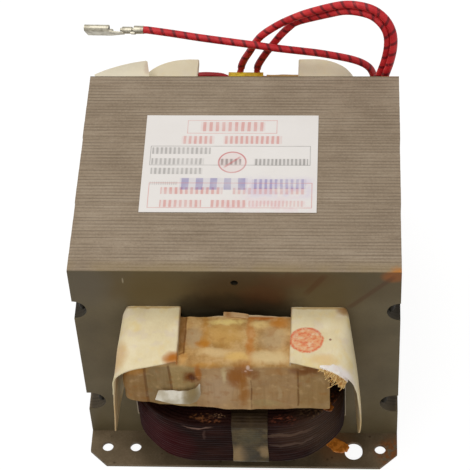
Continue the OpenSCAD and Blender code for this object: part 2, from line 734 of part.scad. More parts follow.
module high_voltage_tab() {
    tab(tab_pitch / 2, secondary_front + seat + wrap_t, secondary_z + 1, 8);
}

// Tape across the feet of the two primary tabs
module tab_tape() {
    w = tab_pitch + tab_w + 2 * tab_tape_over;
    color([0.75, 0.68, 0.5])
        translate([-w / 2, primary_front + tab_t, primary_z + tab_foot_z + 1])
            cube([w, film_t, tab_tape_w]);
}

// Bare wire from the start of the secondary winding to a spot weld on the back of the core
module ground_wire() {
    x = lead_b_x + 3.7;
    start_y = secondary_y + 2.4;
    weld_z = window_top + 6;
    color("peru") {
        tube([[x, start_y, heater_z + 0.5], [x, start_y - 1, heater_z + 3],
              [x, half_d + 2.4, weld_z - 6], [x, half_d + 0.8, weld_z - 2], [x, half_d + 0.6, weld_z]],
             1, 8);
        translate([x, half_d, weld_z]) rotate([-90, 0, 0]) cylinder(d1 = 5, d2 = 2, h = 1.2);
    }
}

module label() {
    color("white") translate([label_x - label_w / 2, label_y - label_d / 2, core_top])
        cube([label_w, label_d, label_t]);
}

mounting_plate();
i_core();
e_core();
joint_weld(-1);  // joint_weld_left
joint_weld(1);  // joint_weld_right
stack_weld(-1);  // stack_weld_left
stack_weld(1);  // stack_weld_right
primary_former();
primary_winding();
primary_film(-1);  // primary_film_left
primary_film(1);  // primary_film_right
primary_tape();
shunt(-1);  // shunt_left
shunt(1);  // shunt_right
shunt_paper(-1);  // shunt_paper_left
shunt_paper(1);  // shunt_paper_right
secondary_former();
secondary_winding();
heater_winding();
secondary_wrap_front();
secondary_wrap_rear();
slot_liner(-1);  // slot_liner_left
slot_liner(1);  // slot_liner_right
liner_panel_left(-1, true);  // liner_top_front_left
liner_panel_right(-1, true);  // liner_top_front_right
liner_panel_left(1, true);  // liner_top_rear_left
liner_panel_right(1, true);  // liner_top_rear_right
liner_panel_left(-1, false);  // liner_side_front_left
liner_panel_right(-1, false);  // liner_side_front_right
liner_panel_left(1, false);  // liner_side_rear_left
liner_panel_right(1, false);  // liner_side_rear_right
liner_flap();
loose_tape_end();
lead_tape();
heater_lead(route_a);  // heater_lead_a
heater_lead(route_b);  // heater_lead_b
placed_receptacle(route_a[len(route_a) - 1], terminal_a_way, terminal_a_turn);  // lead_terminal_a
placed_receptacle(route_b[len(route_b) - 1], terminal_b_way, terminal_b_turn);  // lead_terminal_b
primary_tab(-1);  // primary_tab_left
primary_tab(1);  // primary_tab_right
high_voltage_tab();
tab_tape();
ground_wire();
label();
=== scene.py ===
"""Microwave oven transformer, dressed for its photograph.

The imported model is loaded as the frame. Each sub-assembly is a class that builds its pieces in
millimetres and hands them over in metres. Each finish is a small class that builds one material.
"""

import json
import logging
import math
from dataclasses import dataclass
from enum import Enum
from typing import Callable, Iterable, Protocol, Sequence

import bpy
from mathutils import Euler, Matrix, Vector, noise

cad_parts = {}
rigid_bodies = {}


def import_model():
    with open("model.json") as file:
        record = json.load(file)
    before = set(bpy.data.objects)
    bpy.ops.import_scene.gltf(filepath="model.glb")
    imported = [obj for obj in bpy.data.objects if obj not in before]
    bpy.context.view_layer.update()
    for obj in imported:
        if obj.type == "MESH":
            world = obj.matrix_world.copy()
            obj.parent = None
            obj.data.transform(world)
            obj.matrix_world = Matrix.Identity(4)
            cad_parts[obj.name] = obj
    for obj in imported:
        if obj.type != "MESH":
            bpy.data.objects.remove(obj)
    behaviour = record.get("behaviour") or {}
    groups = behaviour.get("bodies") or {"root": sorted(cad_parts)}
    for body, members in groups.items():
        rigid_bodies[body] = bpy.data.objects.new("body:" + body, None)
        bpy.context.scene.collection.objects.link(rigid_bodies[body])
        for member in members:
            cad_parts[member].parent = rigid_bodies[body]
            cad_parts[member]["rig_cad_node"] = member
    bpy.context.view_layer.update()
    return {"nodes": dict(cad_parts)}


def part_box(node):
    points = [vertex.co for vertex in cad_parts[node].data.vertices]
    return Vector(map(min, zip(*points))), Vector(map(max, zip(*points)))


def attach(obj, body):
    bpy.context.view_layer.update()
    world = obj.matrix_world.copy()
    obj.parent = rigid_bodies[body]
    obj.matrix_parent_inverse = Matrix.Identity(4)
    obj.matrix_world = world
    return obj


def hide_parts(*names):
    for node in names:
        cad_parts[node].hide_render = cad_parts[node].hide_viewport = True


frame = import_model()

MM = 0.001
HALF_DEPTH = 42.6
LOG = logging.getLogger("transformer")
Point = tuple[float, float, float]
Spot = tuple[float, float]
Shade = tuple[int, int, int]
Stroke = tuple[Spot, Spot, float]
Shape = Callable[[float, float], Sequence[float]]
MADE: dict["Finish", bpy.types.Material] = {}


def ink(shade: Shade) -> tuple[float, ...]:
    """Turns a colour as seen on screen, 0 to 255, into the shader's linear one."""
    parts = [c / 255 for c in shade]
    return *(((c + 0.055) / 1.055) ** 2.4 if c > 0.04 else c / 12.92 for c in parts), 1.0


def blend_in(low: float, high: float, value: float) -> float:
    """Smooth step from 0 at low to 1 at high."""
    t = min(1.0, max(0.0, (value - low) / (high - low)))
    return t * t * (3 - 2 * t)


def at(stops: Sequence[Spot], place: float) -> float:
    """Reads a list of (place, value) stops with straight lines between them."""
    if place <= stops[0][0]:
        return stops[0][1]
    for (a, va), (b, vb) in zip(stops, stops[1:]):
        if place <= b:
            return va + (vb - va) * (place - a) / (b - a)
    return stops[-1][1]


def read(rows: Sequence[Sequence[float]], place: float) -> list[float]:
    """Reads rows of a place and its values with straight lines between them."""
    return [at([(row[0], row[i]) for row in rows], place) for i in range(1, len(rows[0]))]


def rough(x: float, y: float, z: float, size: float) -> float:
    """Smooth noise of about -1 to 1 whose lumps are about size mm across."""
    return noise.noise(Vector((x, y, z)) / size)


def box_mm(node: str) -> tuple[Vector, Vector]:
    """A CAD node's lowest and highest corners in millimetres."""
    low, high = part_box(node)
    return Vector(low) / MM, Vector(high) / MM


def along(route: Sequence[Point], gap: float) -> list[Vector]:
    """Points about gap mm apart on a smooth curve through all points of a route."""
    p = [Vector(q) for q in route]
    out = []
    for i in range(len(p) - 1):
        a, b, c, d = p[max(i - 1, 0)], p[i], p[i + 1], p[min(i + 2, len(p) - 1)]
        square, cube = 2 * a - 5 * b + 4 * c - d, 3 * b - a - 3 * c + d
        n = max(1, round((c - b).length / gap))
        for t in (k / n for k in range(n)):
            out.append(0.5 * (2 * b + (c - a) * t + square * t**2 + cube * t**3))
    return out + [p[-1]]


def math_method(operation: str, turned: bool = False) -> Callable[..., "Value"]:
    """Makes the method of Value for one operation of the Math node.

    Args:
        operation: The operation.
        turned: True where the other value comes first.

    Returns:
        The method.
    """

    def method(self: "Value", other: "Value | float" = 0.0) -> "Value":
        """Adds the Math node."""
        first, second = (other, self) if turned else (self, other)
        return self.nodes.add("ShaderNodeMath", {"operation": operation}, {0: first, 1: second})

    return method


class Value:
    """A socket of a material, used in plain Python expressions."""

    __add__ = __radd__ = math_method("ADD")
    __sub__, __rsub__ = math_method("SUBTRACT"), math_method("SUBTRACT", turned=True)
    __mul__ = __rmul__ = math_method("MULTIPLY")
    __pow__ = math_method("POWER")
    over, under = math_method("MAXIMUM"), math_method("MINIMUM")
    size, sine = math_method("ABSOLUTE"), math_method("SINE")

    def __init__(self, nodes: "Nodes", socket: bpy.types.NodeSocket | None) -> None:
        """Keeps the tree that new nodes go to, and the socket."""
        self.nodes = nodes
        self.socket = socket

    def step(self, low: float, high: float) -> "Value":
        """Smooth step from 0 at low to 1 at high, or the other way where low is the larger."""
        return self.nodes.add("ShaderNodeMapRange", {"interpolation_type": "SMOOTHSTEP"}, {
            "Value": self, "From Min": low, "From Max": high, "To Min": 0.0, "To Max": 1.0})

    def within(self, limits: Spot, soft: float) -> "Value":
        """Mask that is 1 between two limits, with edges soft mm wide."""
        low, high = limits
        rise = self.step(low - soft / 2, low + soft / 2)
        return rise * self.step(high + soft / 2, high - soft / 2)

    def wave(self, pitch: float) -> "Value":
        """A wave of 0 to 1 that comes again every pitch."""
        return (self * (2 * math.pi / pitch)).sine() * 0.5 + 0.5


class Nodes:
    """The node tree of a material or of the world."""

    def __init__(self, owner: bpy.types.Material | bpy.types.World) -> None:
        """Empties the owner's tree."""
        owner.use_nodes = True
        self.tree = owner.node_tree
        self.tree.nodes.clear()

    def fill(self, node: bpy.types.Node, sockets: dict[str | int, object]) -> None:
        """Links Values to a node's sockets, and sets numbers and colours on them."""
        for key, given in sockets.items():
            if isinstance(given, Value):
                self.tree.links.new(given.socket, node.inputs[key])
            else:
                node.inputs[key].default_value = given

    def add(self, kind: str, settings: dict | None = None, sockets: dict | None = None,
            out: int | str = 0) -> Value:
        """Adds any node.

        Args:
            kind: The node's type.
            settings: Its settings, which are set first. The stops of a ramp go under "stops".
            sockets: Numbers, colours or Values for its sockets, by name or number.
            out: Name or number of the output that is wanted.

        Returns:
            That output as a Value, which is empty for a node without outputs.
        """
        node = self.tree.nodes.new(kind)
        for key, setting in (settings or {}).items():
            if key == "stops":
                ramp = node.color_ramp
                while len(ramp.elements) < len(setting):
                    ramp.elements.new(1.0)
                for element, (position, colour) in zip(ramp.elements, setting):
                    element.position, element.color = position, colour
            else:
                setattr(node, key, setting)
        self.fill(node, sockets or {})
        return Value(self, node.outputs[out] if len(node.outputs) else None)


@dataclass(frozen=True)
class Stain:
    """A soft oval stain: its middle and radii on the surface in mm, its colour and its strength."""

    middle: Spot
    radii: Spot
    shade: Shade
    strength: float


def ovals(*rows: tuple[float, ...]) -> tuple[Stain, ...]:
    """Makes stains of rows: middle, radii, red, green, blue and strength."""
    return tuple(Stain(row[:2], row[2:4], row[4:7], row[7]) for row in rows)


class Shader(Nodes):
    """One material: its shader node, its coordinates in mm, and the patterns built on them."""

    def __init__(self, name: str) -> None:
        """Starts a material with a Principled BSDF and Object coordinates in millimetres."""
        self.material = bpy.data.materials.new(name)
        super().__init__(self.material)
        shading = self.add("ShaderNodeBsdfPrincipled")
        self.bsdf = shading.socket.node
        self.add("ShaderNodeOutputMaterial", None, {"Surface": shading})
        place = self.add("ShaderNodeTexCoord", out="Object")
        self.uv = Value(self, place.socket.node.outputs["UV"])
        self.place = self.add(
            "ShaderNodeVectorMath", {"operation": "SCALE"}, {0: place, "Scale": 1 / MM})
        self.x, self.y, self.z = self.parts(self.place)

    def parts(self, vector: Value) -> list[Value]:
        """The three parts of a vector."""
        node = self.add("ShaderNodeSeparateXYZ", None, {0: vector}).socket.node
        return [Value(self, output) for output in node.outputs]

    def noise(self, size: float, detail: float = 3.0, stretch: Point = (1, 1, 1),
              roughness: float = 0.5, seed: float = 0.0) -> Value:
        """Noise of 0 to 1.

        Args:
            size: Size of its lumps in mm.
            detail: Octaves.
            stretch: How much longer the lumps are along each axis.
            roughness: Weight of the finer octaves.
            seed: Moves the pattern.

        Returns:
            The noise as a Value.
        """
        scaled = self.add("ShaderNodeMapping", None, {
            "Vector": self.place, "Location": (seed, seed * 1.7, seed * 0.6),
            "Scale": tuple(1 / (size * s) for s in stretch)})
        return self.add("ShaderNodeTexNoise", None, {
            "Vector": scaled, "Scale": 1.0, "Detail": detail, "Roughness": roughness})

    def cells(self, size: float, seed: float) -> Value:
        """Distance pattern of scattered cells, 0 in each cell's middle."""
        scaled = self.add("ShaderNodeMapping", None, {
            "Vector": self.place, "Location": (seed,) * 3, "Scale": (1 / size,) * 3})
        return self.add("ShaderNodeTexVoronoi", None, {"Vector": scaled, "Scale": 1.0})

    def warped(self, axis: Value, size: float, by: float, detail: float = 3.0,
               seed: float = 0.0) -> Value:
        """A coordinate that noise moves by up to half of by, in mm, either way."""
        return axis + (self.noise(size, detail, seed=seed) - 0.5) * by

    def spot(self, radius: float, soft: float, ragged: float = 0.0, **middle: float) -> Value:
        """Mask that is 1 round a place and 0 further off.

        Args:
            radius: Where the mask has fallen to about half, in mm.
            soft: Share of the radius over which it fades.
            ragged: How far noise moves the edge, in mm.
            middle: The place, along each axis that plays a part.

        Returns:
            The mask as a Value.
        """
        total: Value | float = 0.0
        for axis, place in middle.items():
            total = (getattr(self, axis) - place) ** 2.0 + total
        far = total ** 0.5
        if ragged:
            far = self.warped(far, radius * 0.6, 2 * ragged)
        return far.step(radius * (1 + soft), radius * (1 - soft))

    def patch(self, x: Spot, y: Spot, soft: float) -> Value:
        """Mask of a rectangle on a sheet that lies flat."""
        return self.x.within(x, soft) * self.y.within(y, soft)

    def frame_lines(self, x: Spot, y: Spot, width: float) -> Value:
        """Mask of a drawn rectangle on a sheet that lies flat."""
        inner = self.patch((x[0] + width, x[1] - width), (y[0] + width, y[1] - width), 0.1)
        return self.patch(x, y, 0.1) - inner

    def stroke(self, across: Value, up: Value, start: Spot, end: Spot, width: float) -> Value:
        """Mask of a straight stroke between two places of a surface, with soft edges."""
        reach = math.dist(start, end)
        way = ((end[0] - start[0]) / reach, (end[1] - start[1]) / reach)
        right, rise = across - start[0], up - start[1]
        far = (right * way[1] - rise * way[0]).size()
        ahead = right * way[0] + rise * way[1]
        ends = ahead.step(-width, width) * ahead.step(reach + width, reach - width)
        return far.step(width * 0.75, width * 0.25) * ends

    def oval(self, across: Value, up: Value, middle: Spot, radii: Spot) -> Value:
        """Squared distance from an oval's middle, which is 1 on the oval."""
        (x, y), (wide, high) = middle, radii
        return ((across - x) * (1 / wide)) ** 2.0 + ((up - y) * (1 / high)) ** 2.0

    def stained(self, colour: Value, across: Value, up: Value, stains: Iterable[Stain]) -> Value:
        """Lays soft oval stains over a colour, placed by two coordinates of the surface."""
        for stain in stains:
            mask = self.oval(across, up, stain.middle, stain.radii).step(2.6, -0.1)
            colour = self.mix(mask * stain.strength, colour, stain.shade)
        return colour

    def mix(self, mask: Value | float, first: Value | Shade, second: Value | Shade) -> Value:
        """Colour that goes from first to second as the mask goes from 0 to 1."""
        a, b = (end if isinstance(end, Value) else ink(end) for end in (first, second))
        return self.add("ShaderNodeMix", {"data_type": "RGBA"}, {0: mask, 6: a, 7: b}, out=2)

    def ramp(self, value: Value, places: Point, *shades: Shade) -> Value:
        """Colour read from a ramp with a shade at each place."""
        stops = [(place, ink(shade)) for place, shade in zip(places, shades)]
        return self.add("ShaderNodeValToRGB", {"stops": stops}, {0: value})

    def look(self, colour: Value, roughness: Value | float, height: Value,
             metallic: Value | float = 0.0, coat: Value | float = 0.0, specular: float = 0.5,
             coat_roughness: float = 0.15) -> bpy.types.Material:
        """Sets the shader's sockets.

        Args:
            colour: Base colour.
            roughness: Roughness.
            height: Height of the surface's relief in mm, which goes through a Bump node.
            metallic: How much of a metal it is.
            coat: Weight of a clear coat.
            specular: Specular level.
            coat_roughness: Roughness of the coat.

        Returns:
            The material.
        """
        bump = self.add("ShaderNodeBump", None, {"Strength": 1.0, "Distance": MM, "Height": height})
        self.fill(self.bsdf, {
            "Base Color": colour, "Roughness": roughness, "Metallic": metallic, "Coat Weight": coat,
            "Specular IOR Level": specular, "Coat Roughness": coat_roughness, "Normal": bump})
        return self.material


@dataclass(frozen=True)
class Finish:
    """One finish: its name, the record's slot it stands for, and how its material is made."""

    name: str
    slot: str

    def paint(self, s: Shader) -> bpy.types.Material:
        """Builds the nodes and sets the shader. Each finish has its own."""
        raise NotImplementedError

    def material(self) -> bpy.types.Material:
        """The material, made once and then used again."""
        if self not in MADE:
            MADE[self] = self.paint(Shader(self.name + "_finish"))
        return MADE[self]

    def on(self, *pieces: bpy.types.Object) -> None:
        """Gives pieces this material."""
        for piece in pieces:
            piece.data.materials.clear()
            piece.data.materials.append(self.material())

    def on_nodes(self, *names: str) -> None:
        """Gives CAD nodes this material."""
        self.on(*(frame["nodes"][name] for name in names))


@dataclass(frozen=True)
class SheetSteel(Finish):
    """Varnished steel sheets on edge. Their edges show as fine lines, and one whole sheet shows in
    front and behind."""

    name: str = "stacked_steel"
    slot: str = "core_steel"
    face_y: float = 42.3
    top_z: float = 88.5
    line_pitch: float = 1.36
    shaded_hollows: tuple[Point, ...] = ((51.0, 18.7, 4.9), (52.4, 68.7, 4.9), (0.0, 83.1, 1.7))
    clouded_stains_and_shadow: tuple[Stain, ...] = ovals(
        # Soft varnish stains on the sheet. The dark row at (0, 71) is a painted shadow on the face
        # just above the front wrap.
        (3.0, 79.0, 13.0, 9.0, 68, 47, 21, 0.8), (0.0, 71.0, 17.0, 5.5, 26, 18, 8, 0.85),
        (9.0, 77.5, 6.0, 4.0, 92, 52, 26, 0.4), (20.0, 84.5, 10.0, 3.0, 92, 58, 30, 0.5),
        (-27.0, 81.0, 11.0, 7.0, 104, 86, 48, 0.6), (31.0, 79.0, 9.0, 7.0, 100, 84, 50, 0.5),
        (-48.0, 82.0, 7.0, 9.0, 106, 97, 80, 0.6))
    sharp: tuple[Stain, ...] = ovals(
        (49.8, 86.6, 3.0, 2.2, 158, 92, 36, 0.8), (-35.1, 84.0, 0.22, 1.1, 196, 184, 158, 0.5))
    streaks: tuple[Stroke, ...] = (
        ((50.0, 86.5), (36.0, 71.0), 1.7), ((28.5, 87.0), (22.5, 78.0), 2.0))

    def paint(self, s: Shader) -> bpy.types.Material:
        """The sheets' edges as lines, painted dark inside their grooves and hole as shade, and one
        whole sheet with varnish stains and a painted shadow above the front wrap. The sheet is
        painted darker than the edges, partly as shade.
        """
        wander = s.noise(14, 2, (6, 1, 6), seed=9)
        fine = s.noise(0.42, 2, (60, 1, 60), 0.7)
        clouds = s.noise(15, 4, seed=1)
        grain = s.noise(0.6, 3, seed=5)
        face = s.y.size().step(self.face_y, self.face_y + 0.1)
        lines = (s.y + wander * 0.9).wave(self.line_pitch) ** 3.0
        lines = lines * s.noise(4, 3, (3.5, 0.4, 1), seed=7).step(0.3, 0.55)
        edges = s.ramp(
            fine * 0.5 + clouds * 0.5, (0.34, 0.5, 0.68),
            (139, 122, 102), (154, 137, 116), (169, 153, 133))
        edges = s.mix(grain.step(0.52, 0.72) * 0.3, edges, (118, 104, 86))
        edges = s.mix(grain.step(0.48, 0.28) * 0.3, edges, (176, 162, 142))
        edges = s.mix(lines * 0.52, edges, (100, 86, 70))
        edges = s.mix(s.y.step(-36.5, -42) * clouds.step(0.3, 0.6) * 0.6, edges, (142, 122, 82))
        corner = s.spot(2.6, 0.6, 1.0, x=51.4, y=-43.2, z=self.top_z)
        edges = s.mix(corner * 0.8, edges, (190, 118, 34))
        # Painted shade: the inside of the weld grooves on the sides, and of the hole, is painted
        # dark.
        for x, z, radius in self.shaded_hollows:
            far = (s.x.size() - x) ** 2.0 + (s.z - z) ** 2.0
            edges = s.mix(far.step(radius**2 * 1.15, radius**2 * 0.85) * 0.9, edges, (36, 33, 26))
        # The whole sheet in front and behind is darker than the edges. This is partly its own
        # darker varnish and partly painted shade, for faces turned away from the light above.
        sheet = s.ramp(
            clouds * 0.8 + grain * 0.2, (0.3, 0.5, 0.72),
            (94, 83, 59), (107, 95, 69), (118, 105, 78))
        sheet = s.mix(s.z.step(70, 80) * 0.5, sheet, (86, 70, 40))
        sheet = s.stained(sheet, s.warped(s.x, 5, 5), s.warped(s.z, 5, 5, seed=4), self.clouded_stains_and_shadow)
        sheet = s.stained(sheet, s.x, s.z, self.sharp)
        for start, end, width in self.streaks:
            sheet = s.mix(s.stroke(s.x, s.z, start, end, width) * 0.5, sheet, (84, 48, 22))
        roughness = face * -0.12 + 0.58 + grain * 0.1
        height = lines * (1 - face) * -0.05 + grain * 0.02 + clouds * face * 0.1
        return s.look(
            s.mix(face, edges, sheet), roughness, height, metallic=(1 - face) * 0.2,
            coat=face * 0.06, specular=0.2, coat_roughness=0.35)


@dataclass(frozen=True)
class PlateSteel(Finish):
    """The mounting plate: dull rolled steel with drips of varnish and rust at one corner."""

    name: str = "plate_steel"
    slot: str = "plate_steel"

    def paint(self, s: Shader) -> bpy.types.Material:
        """Clouded brown-grey, fine scratches, stains and rust."""
        clouds = s.noise(11, 4, seed=2)
        grain = s.noise(0.5, 3)
        scratches = s.noise(0.35, 2, (40, 1, 1), 0.6, seed=6).step(0.66, 0.78)
        colour = s.ramp(
            clouds * 0.7 + grain * 0.3, (0.3, 0.52, 0.72),
            (92, 77, 56), (114, 98, 75), (138, 119, 94))
        colour = s.mix(scratches * 0.35, colour, (138, 128, 110))
        colour = s.mix(s.spot(6, 0.7, 2.5, x=31, y=-48) * 0.6, colour, (146, 100, 58))
        rust = s.spot(5.5, 0.6, 3.0, x=50.8, y=-50.2) * s.noise(1.8, 4, seed=9).step(0.34, 0.54)
        rusty = s.mix(s.noise(0.8, 3, seed=4), (98, 56, 24), (164, 98, 44))
        colour = s.mix(rust * 0.8, colour, rusty)
        colour = s.mix(s.cells(5.0, 2.0).step(0.12, 0.05) * 0.6, colour, (62, 40, 26))
        height = grain * 0.03 + rust * s.noise(0.6, 3) * 0.15 + clouds * 0.05
        roughness = rust * 0.3 + 0.5 + grain * 0.1
        return s.look(colour, roughness, height, metallic=(1 - rust) * 0.15, specular=0.2)


@dataclass(frozen=True)
class WeldMetal(Finish):
    """Weld beads: dark scale over dull ripples."""

    name: str = "weld_metal"
    slot: str = "weld_metal"

    def paint(self, s: Shader) -> bpy.types.Material:
        """Burnt scale, straw-coloured bands, and a front end painted darker as shade deep in its
        groove.
        """
        clouds = s.noise(3.0, 4)
        ripple = s.warped(s.y, 2.0, 1.5, 2).wave(1.9)
        colour = s.ramp(clouds, (0.3, 0.55, 0.75), (34, 32, 28), (56, 51, 44), (92, 80, 64))
        colour = s.mix(ripple * 0.08, colour, (96, 86, 72))
        # Painted shade: darker towards the front end, where the bead lies deep in its groove.
        colour = s.mix(s.y.step(-39.0, -41.0) * 0.8, colour, (46, 43, 37))
        height = ripple * 0.03 + clouds * 0.05
        return s.look(colour, clouds * 0.2 + 0.55, height, metallic=0.2, specular=0.15)


@dataclass(frozen=True)
class WireEnamel(Finish):
    """Enamelled wire under varnish. A winding that is given a pitch shows plain turns of it."""

    name: str = "primary_enamel"
    slot: str = "primary_enamel"
    dark: Shade = (22, 9, 7)
    light: Shade = (58, 32, 26)
    pitch: float = 0.0
    front_stains_and_highlights: tuple[Stain, ...] = ovals(
        # The thin pale rows at (14, 34), (17, 28.5) and (-13, 38.2) are painted highlights along
        # the turns. The rest are stains.
        (-26.0, 26.0, 9.0, 9.0, 66, 13, 19, 0.65), (24.0, 33.0, 9.0, 7.0, 82, 62, 48, 0.5),
        (14.0, 34.0, 9.0, 0.7, 130, 104, 86, 0.4), (17.0, 28.5, 7.0, 0.6, 128, 104, 90, 0.35),
        (-13.0, 38.2, 3.4, 0.4, 176, 140, 124, 0.6), (-10.5, 34.5, 0.5, 2.2, 110, 84, 74, 0.4),
        (28.0, 24.0, 4.0, 5.0, 70, 52, 38, 0.5))
    top_flecks: tuple[Stain, ...] = ovals(
        (-11.5, -63.6, 3.0, 1.0, 172, 112, 66, 0.8), (-6.0, -63.0, 2.2, 0.8, 196, 150, 110, 0.8),
        (-8.5, -65.3, 2.8, 0.7, 150, 92, 56, 0.7), (15.0, -64.5, 3.4, 1.5, 132, 70, 48, 0.7),
        (25.0, -61.0, 4.5, 2.4, 110, 84, 56, 0.7), (29.0, -57.0, 3.4, 3.0, 136, 74, 26, 0.8))

    def paint(self, s: Shader) -> bpy.types.Material:
        """Dark enamel with a redder left side, dried varnish, a few flecks, and painted highlights
        along the front turns.
        """
        clouds = s.noise(5, 4, (3, 1, 1))
        fine = s.noise(0.8, 3, (8, 1, 1), seed=3)
        middle = tuple((a + b) // 2 for a, b in zip(self.dark, self.light))
        colour = s.ramp(
            clouds * 0.65 + fine * 0.35, (0.32, 0.52, 0.72), self.dark, middle, self.light)
        if self.pitch:
            height = s.z.wave(self.pitch) * self.pitch * 0.3 + fine * 0.04
            return s.look(colour, fine * 0.2 + 0.3, height, specular=0.3)
        across, up = s.warped(s.x, 6, 6), s.warped(s.z, 6, 5, seed=4)
        colour = s.mix(s.y.step(-30, -50), colour, s.stained(colour, across, up, self.front_stains_and_highlights))
        bits = s.noise(0.6, 4, (1.6, 1, 1), seed=8).step(0.46, 0.66) * s.z.step(38.5, 39.6)
        colour = s.mix(bits, colour, s.stained(colour, s.x, s.y, self.top_flecks))
        return s.look(colour, fine * 0.16 + 0.46, fine * 0.05 + bits * 0.08, specular=0.04)


@dataclass(frozen=True)
class Board(Finish):
    """Pressed board of the winding formers."""

    name: str = "former_board"
    slot: str = "board"

    def paint(self, s: Shader) -> bpy.types.Material:
        """Tan fibre, browned by varnish."""
        fibre = s.noise(0.8, 4, (5, 5, 1))
        colour = s.mix(s.noise(7, 3).step(0.35, 0.7), (176, 142, 92), (120, 84, 48))
        return s.look(s.mix(fibre.step(0.5, 0.8) * 0.4, colour, (206, 180, 134)), 0.6, fibre * 0.05)


@dataclass(frozen=True)
class Film(Finish):
    """Thin film in the slots, browned and dusty."""

    name: str = "slot_film"
    slot: str = "film"

    def paint(self, s: Shader) -> bpy.types.Material:
        """Yellowed film with creases."""
        colour = s.mix(s.noise(9, 3), (196, 176, 134), (150, 120, 78))
        return s.look(colour, 0.28, s.noise(2.5, 4, (1, 4, 1)).step(0.45, 0.6) * 0.12, coat=0.4)


@dataclass(frozen=True)
class GlossTape(Finish):
    """Brown tape soaked in varnish, with the wires under it showing through."""

    name: str = "brown_tape"
    slot: str = "brown_tape"
    pitch: float = 1.25
    stains: tuple[Stain, ...] = ovals(
        (-0.2, 23.5, 2.6, 4.4, 166, 138, 98, 0.85), (8.6, 25.5, 1.7, 2.8, 158, 132, 94, 0.85),
        (3.4, 24.0, 2.4, 5.0, 70, 64, 52, 0.6), (4.0, 33.5, 3.2, 3.2, 90, 84, 62, 0.5))

    def paint(self, s: Shader) -> bpy.types.Material:
        """Painted dark on top as shade under the wrap's edge, olive and dusty lower down, with
        paler corners.
        """
        clouds = s.noise(3.2, 4, seed=2)
        colour = s.ramp(clouds, (0.32, 0.5, 0.7), (58, 47, 29), (82, 69, 45), (104, 88, 58))
        # Painted shade: the top of the tape, in the gap under the wrap's edge, is painted near
        # black.
        colour = s.mix(s.z.step(37.5, 40.0) * 0.75, colour, (42, 28, 18))
        colour = s.stained(colour, s.x + (clouds - 0.5) * 2.0, s.warped(s.z, 2, 3), self.stains)
        under = (s.z + clouds * 0.3).wave(self.pitch) * s.y.step(-66.2, -66.8)
        over = (s.y + clouds * 0.3).wave(self.pitch) * s.z.step(39.6, 40.2)
        height = under * 0.04 + over * 0.1 + s.noise(1.2, 3) * 0.2
        return s.look(colour, clouds * 0.2 + 0.4, height, coat=0.03, specular=0.08)


@dataclass(frozen=True)
class ShuntSteel(Finish):
    """Loose steel strips of the magnetic shunts."""

    name: str = "shunt_steel"
    slot: str = "shunt_steel"

    def paint(self, s: Shader) -> bpy.types.Material:
        """Layers of grey strip, with varnish between them."""
        layers = (s.z + s.noise(4, 2) * 0.2).wave(0.5)
        colour = s.mix(layers * 0.6, (92, 88, 84), (140, 136, 130))
        stain = s.noise(3, 4, seed=5).step(0.5, 0.7)
        return s.look(s.mix(stain * 0.6, colour, (110, 78, 46)), 0.45, layers * 0.06, metallic=0.5)


@dataclass(frozen=True)
class Sleeve(Finish):
    """Red silicone sleeve over stranded wire. The leads have dark slanting marks, which follow
    the sleeve's own coordinates: along it in mm, and once round it."""

    name: str = "red_sleeve"
    slot: str = "red_sleeve"
    marked: bool = False
    pitch: float = 4.1

    def paint(self, s: Shader) -> bpy.types.Material:
        """Red with dust and a little varnish, and the marks where it has them."""
        clouds = s.noise(6, 3)
        fine = s.noise(0.6, 3, seed=4)
        colour = s.ramp(
            clouds * 0.7 + fine * 0.3, (0.3, 0.52, 0.75),
            (176, 24, 32), (208, 42, 48), (228, 76, 72))
        colour = s.mix(s.z.step(82, 70) * s.y.step(56, 60) * 0.45, colour, (112, 22, 18))
        if self.marked:
            length, turn, _ = s.parts(s.uv)
            mark = (length * (1 / self.pitch) - turn).wave(1.0).step(0.68, 0.98)
            worn = s.noise(0.9, 3, seed=7).step(0.28, 0.42)
            colour = s.mix(mark * worn * 0.85, colour, (92, 10, 20))
        return s.look(colour, fine * 0.12 + 0.4, fine * 0.02 + clouds * 0.03, specular=0.3)


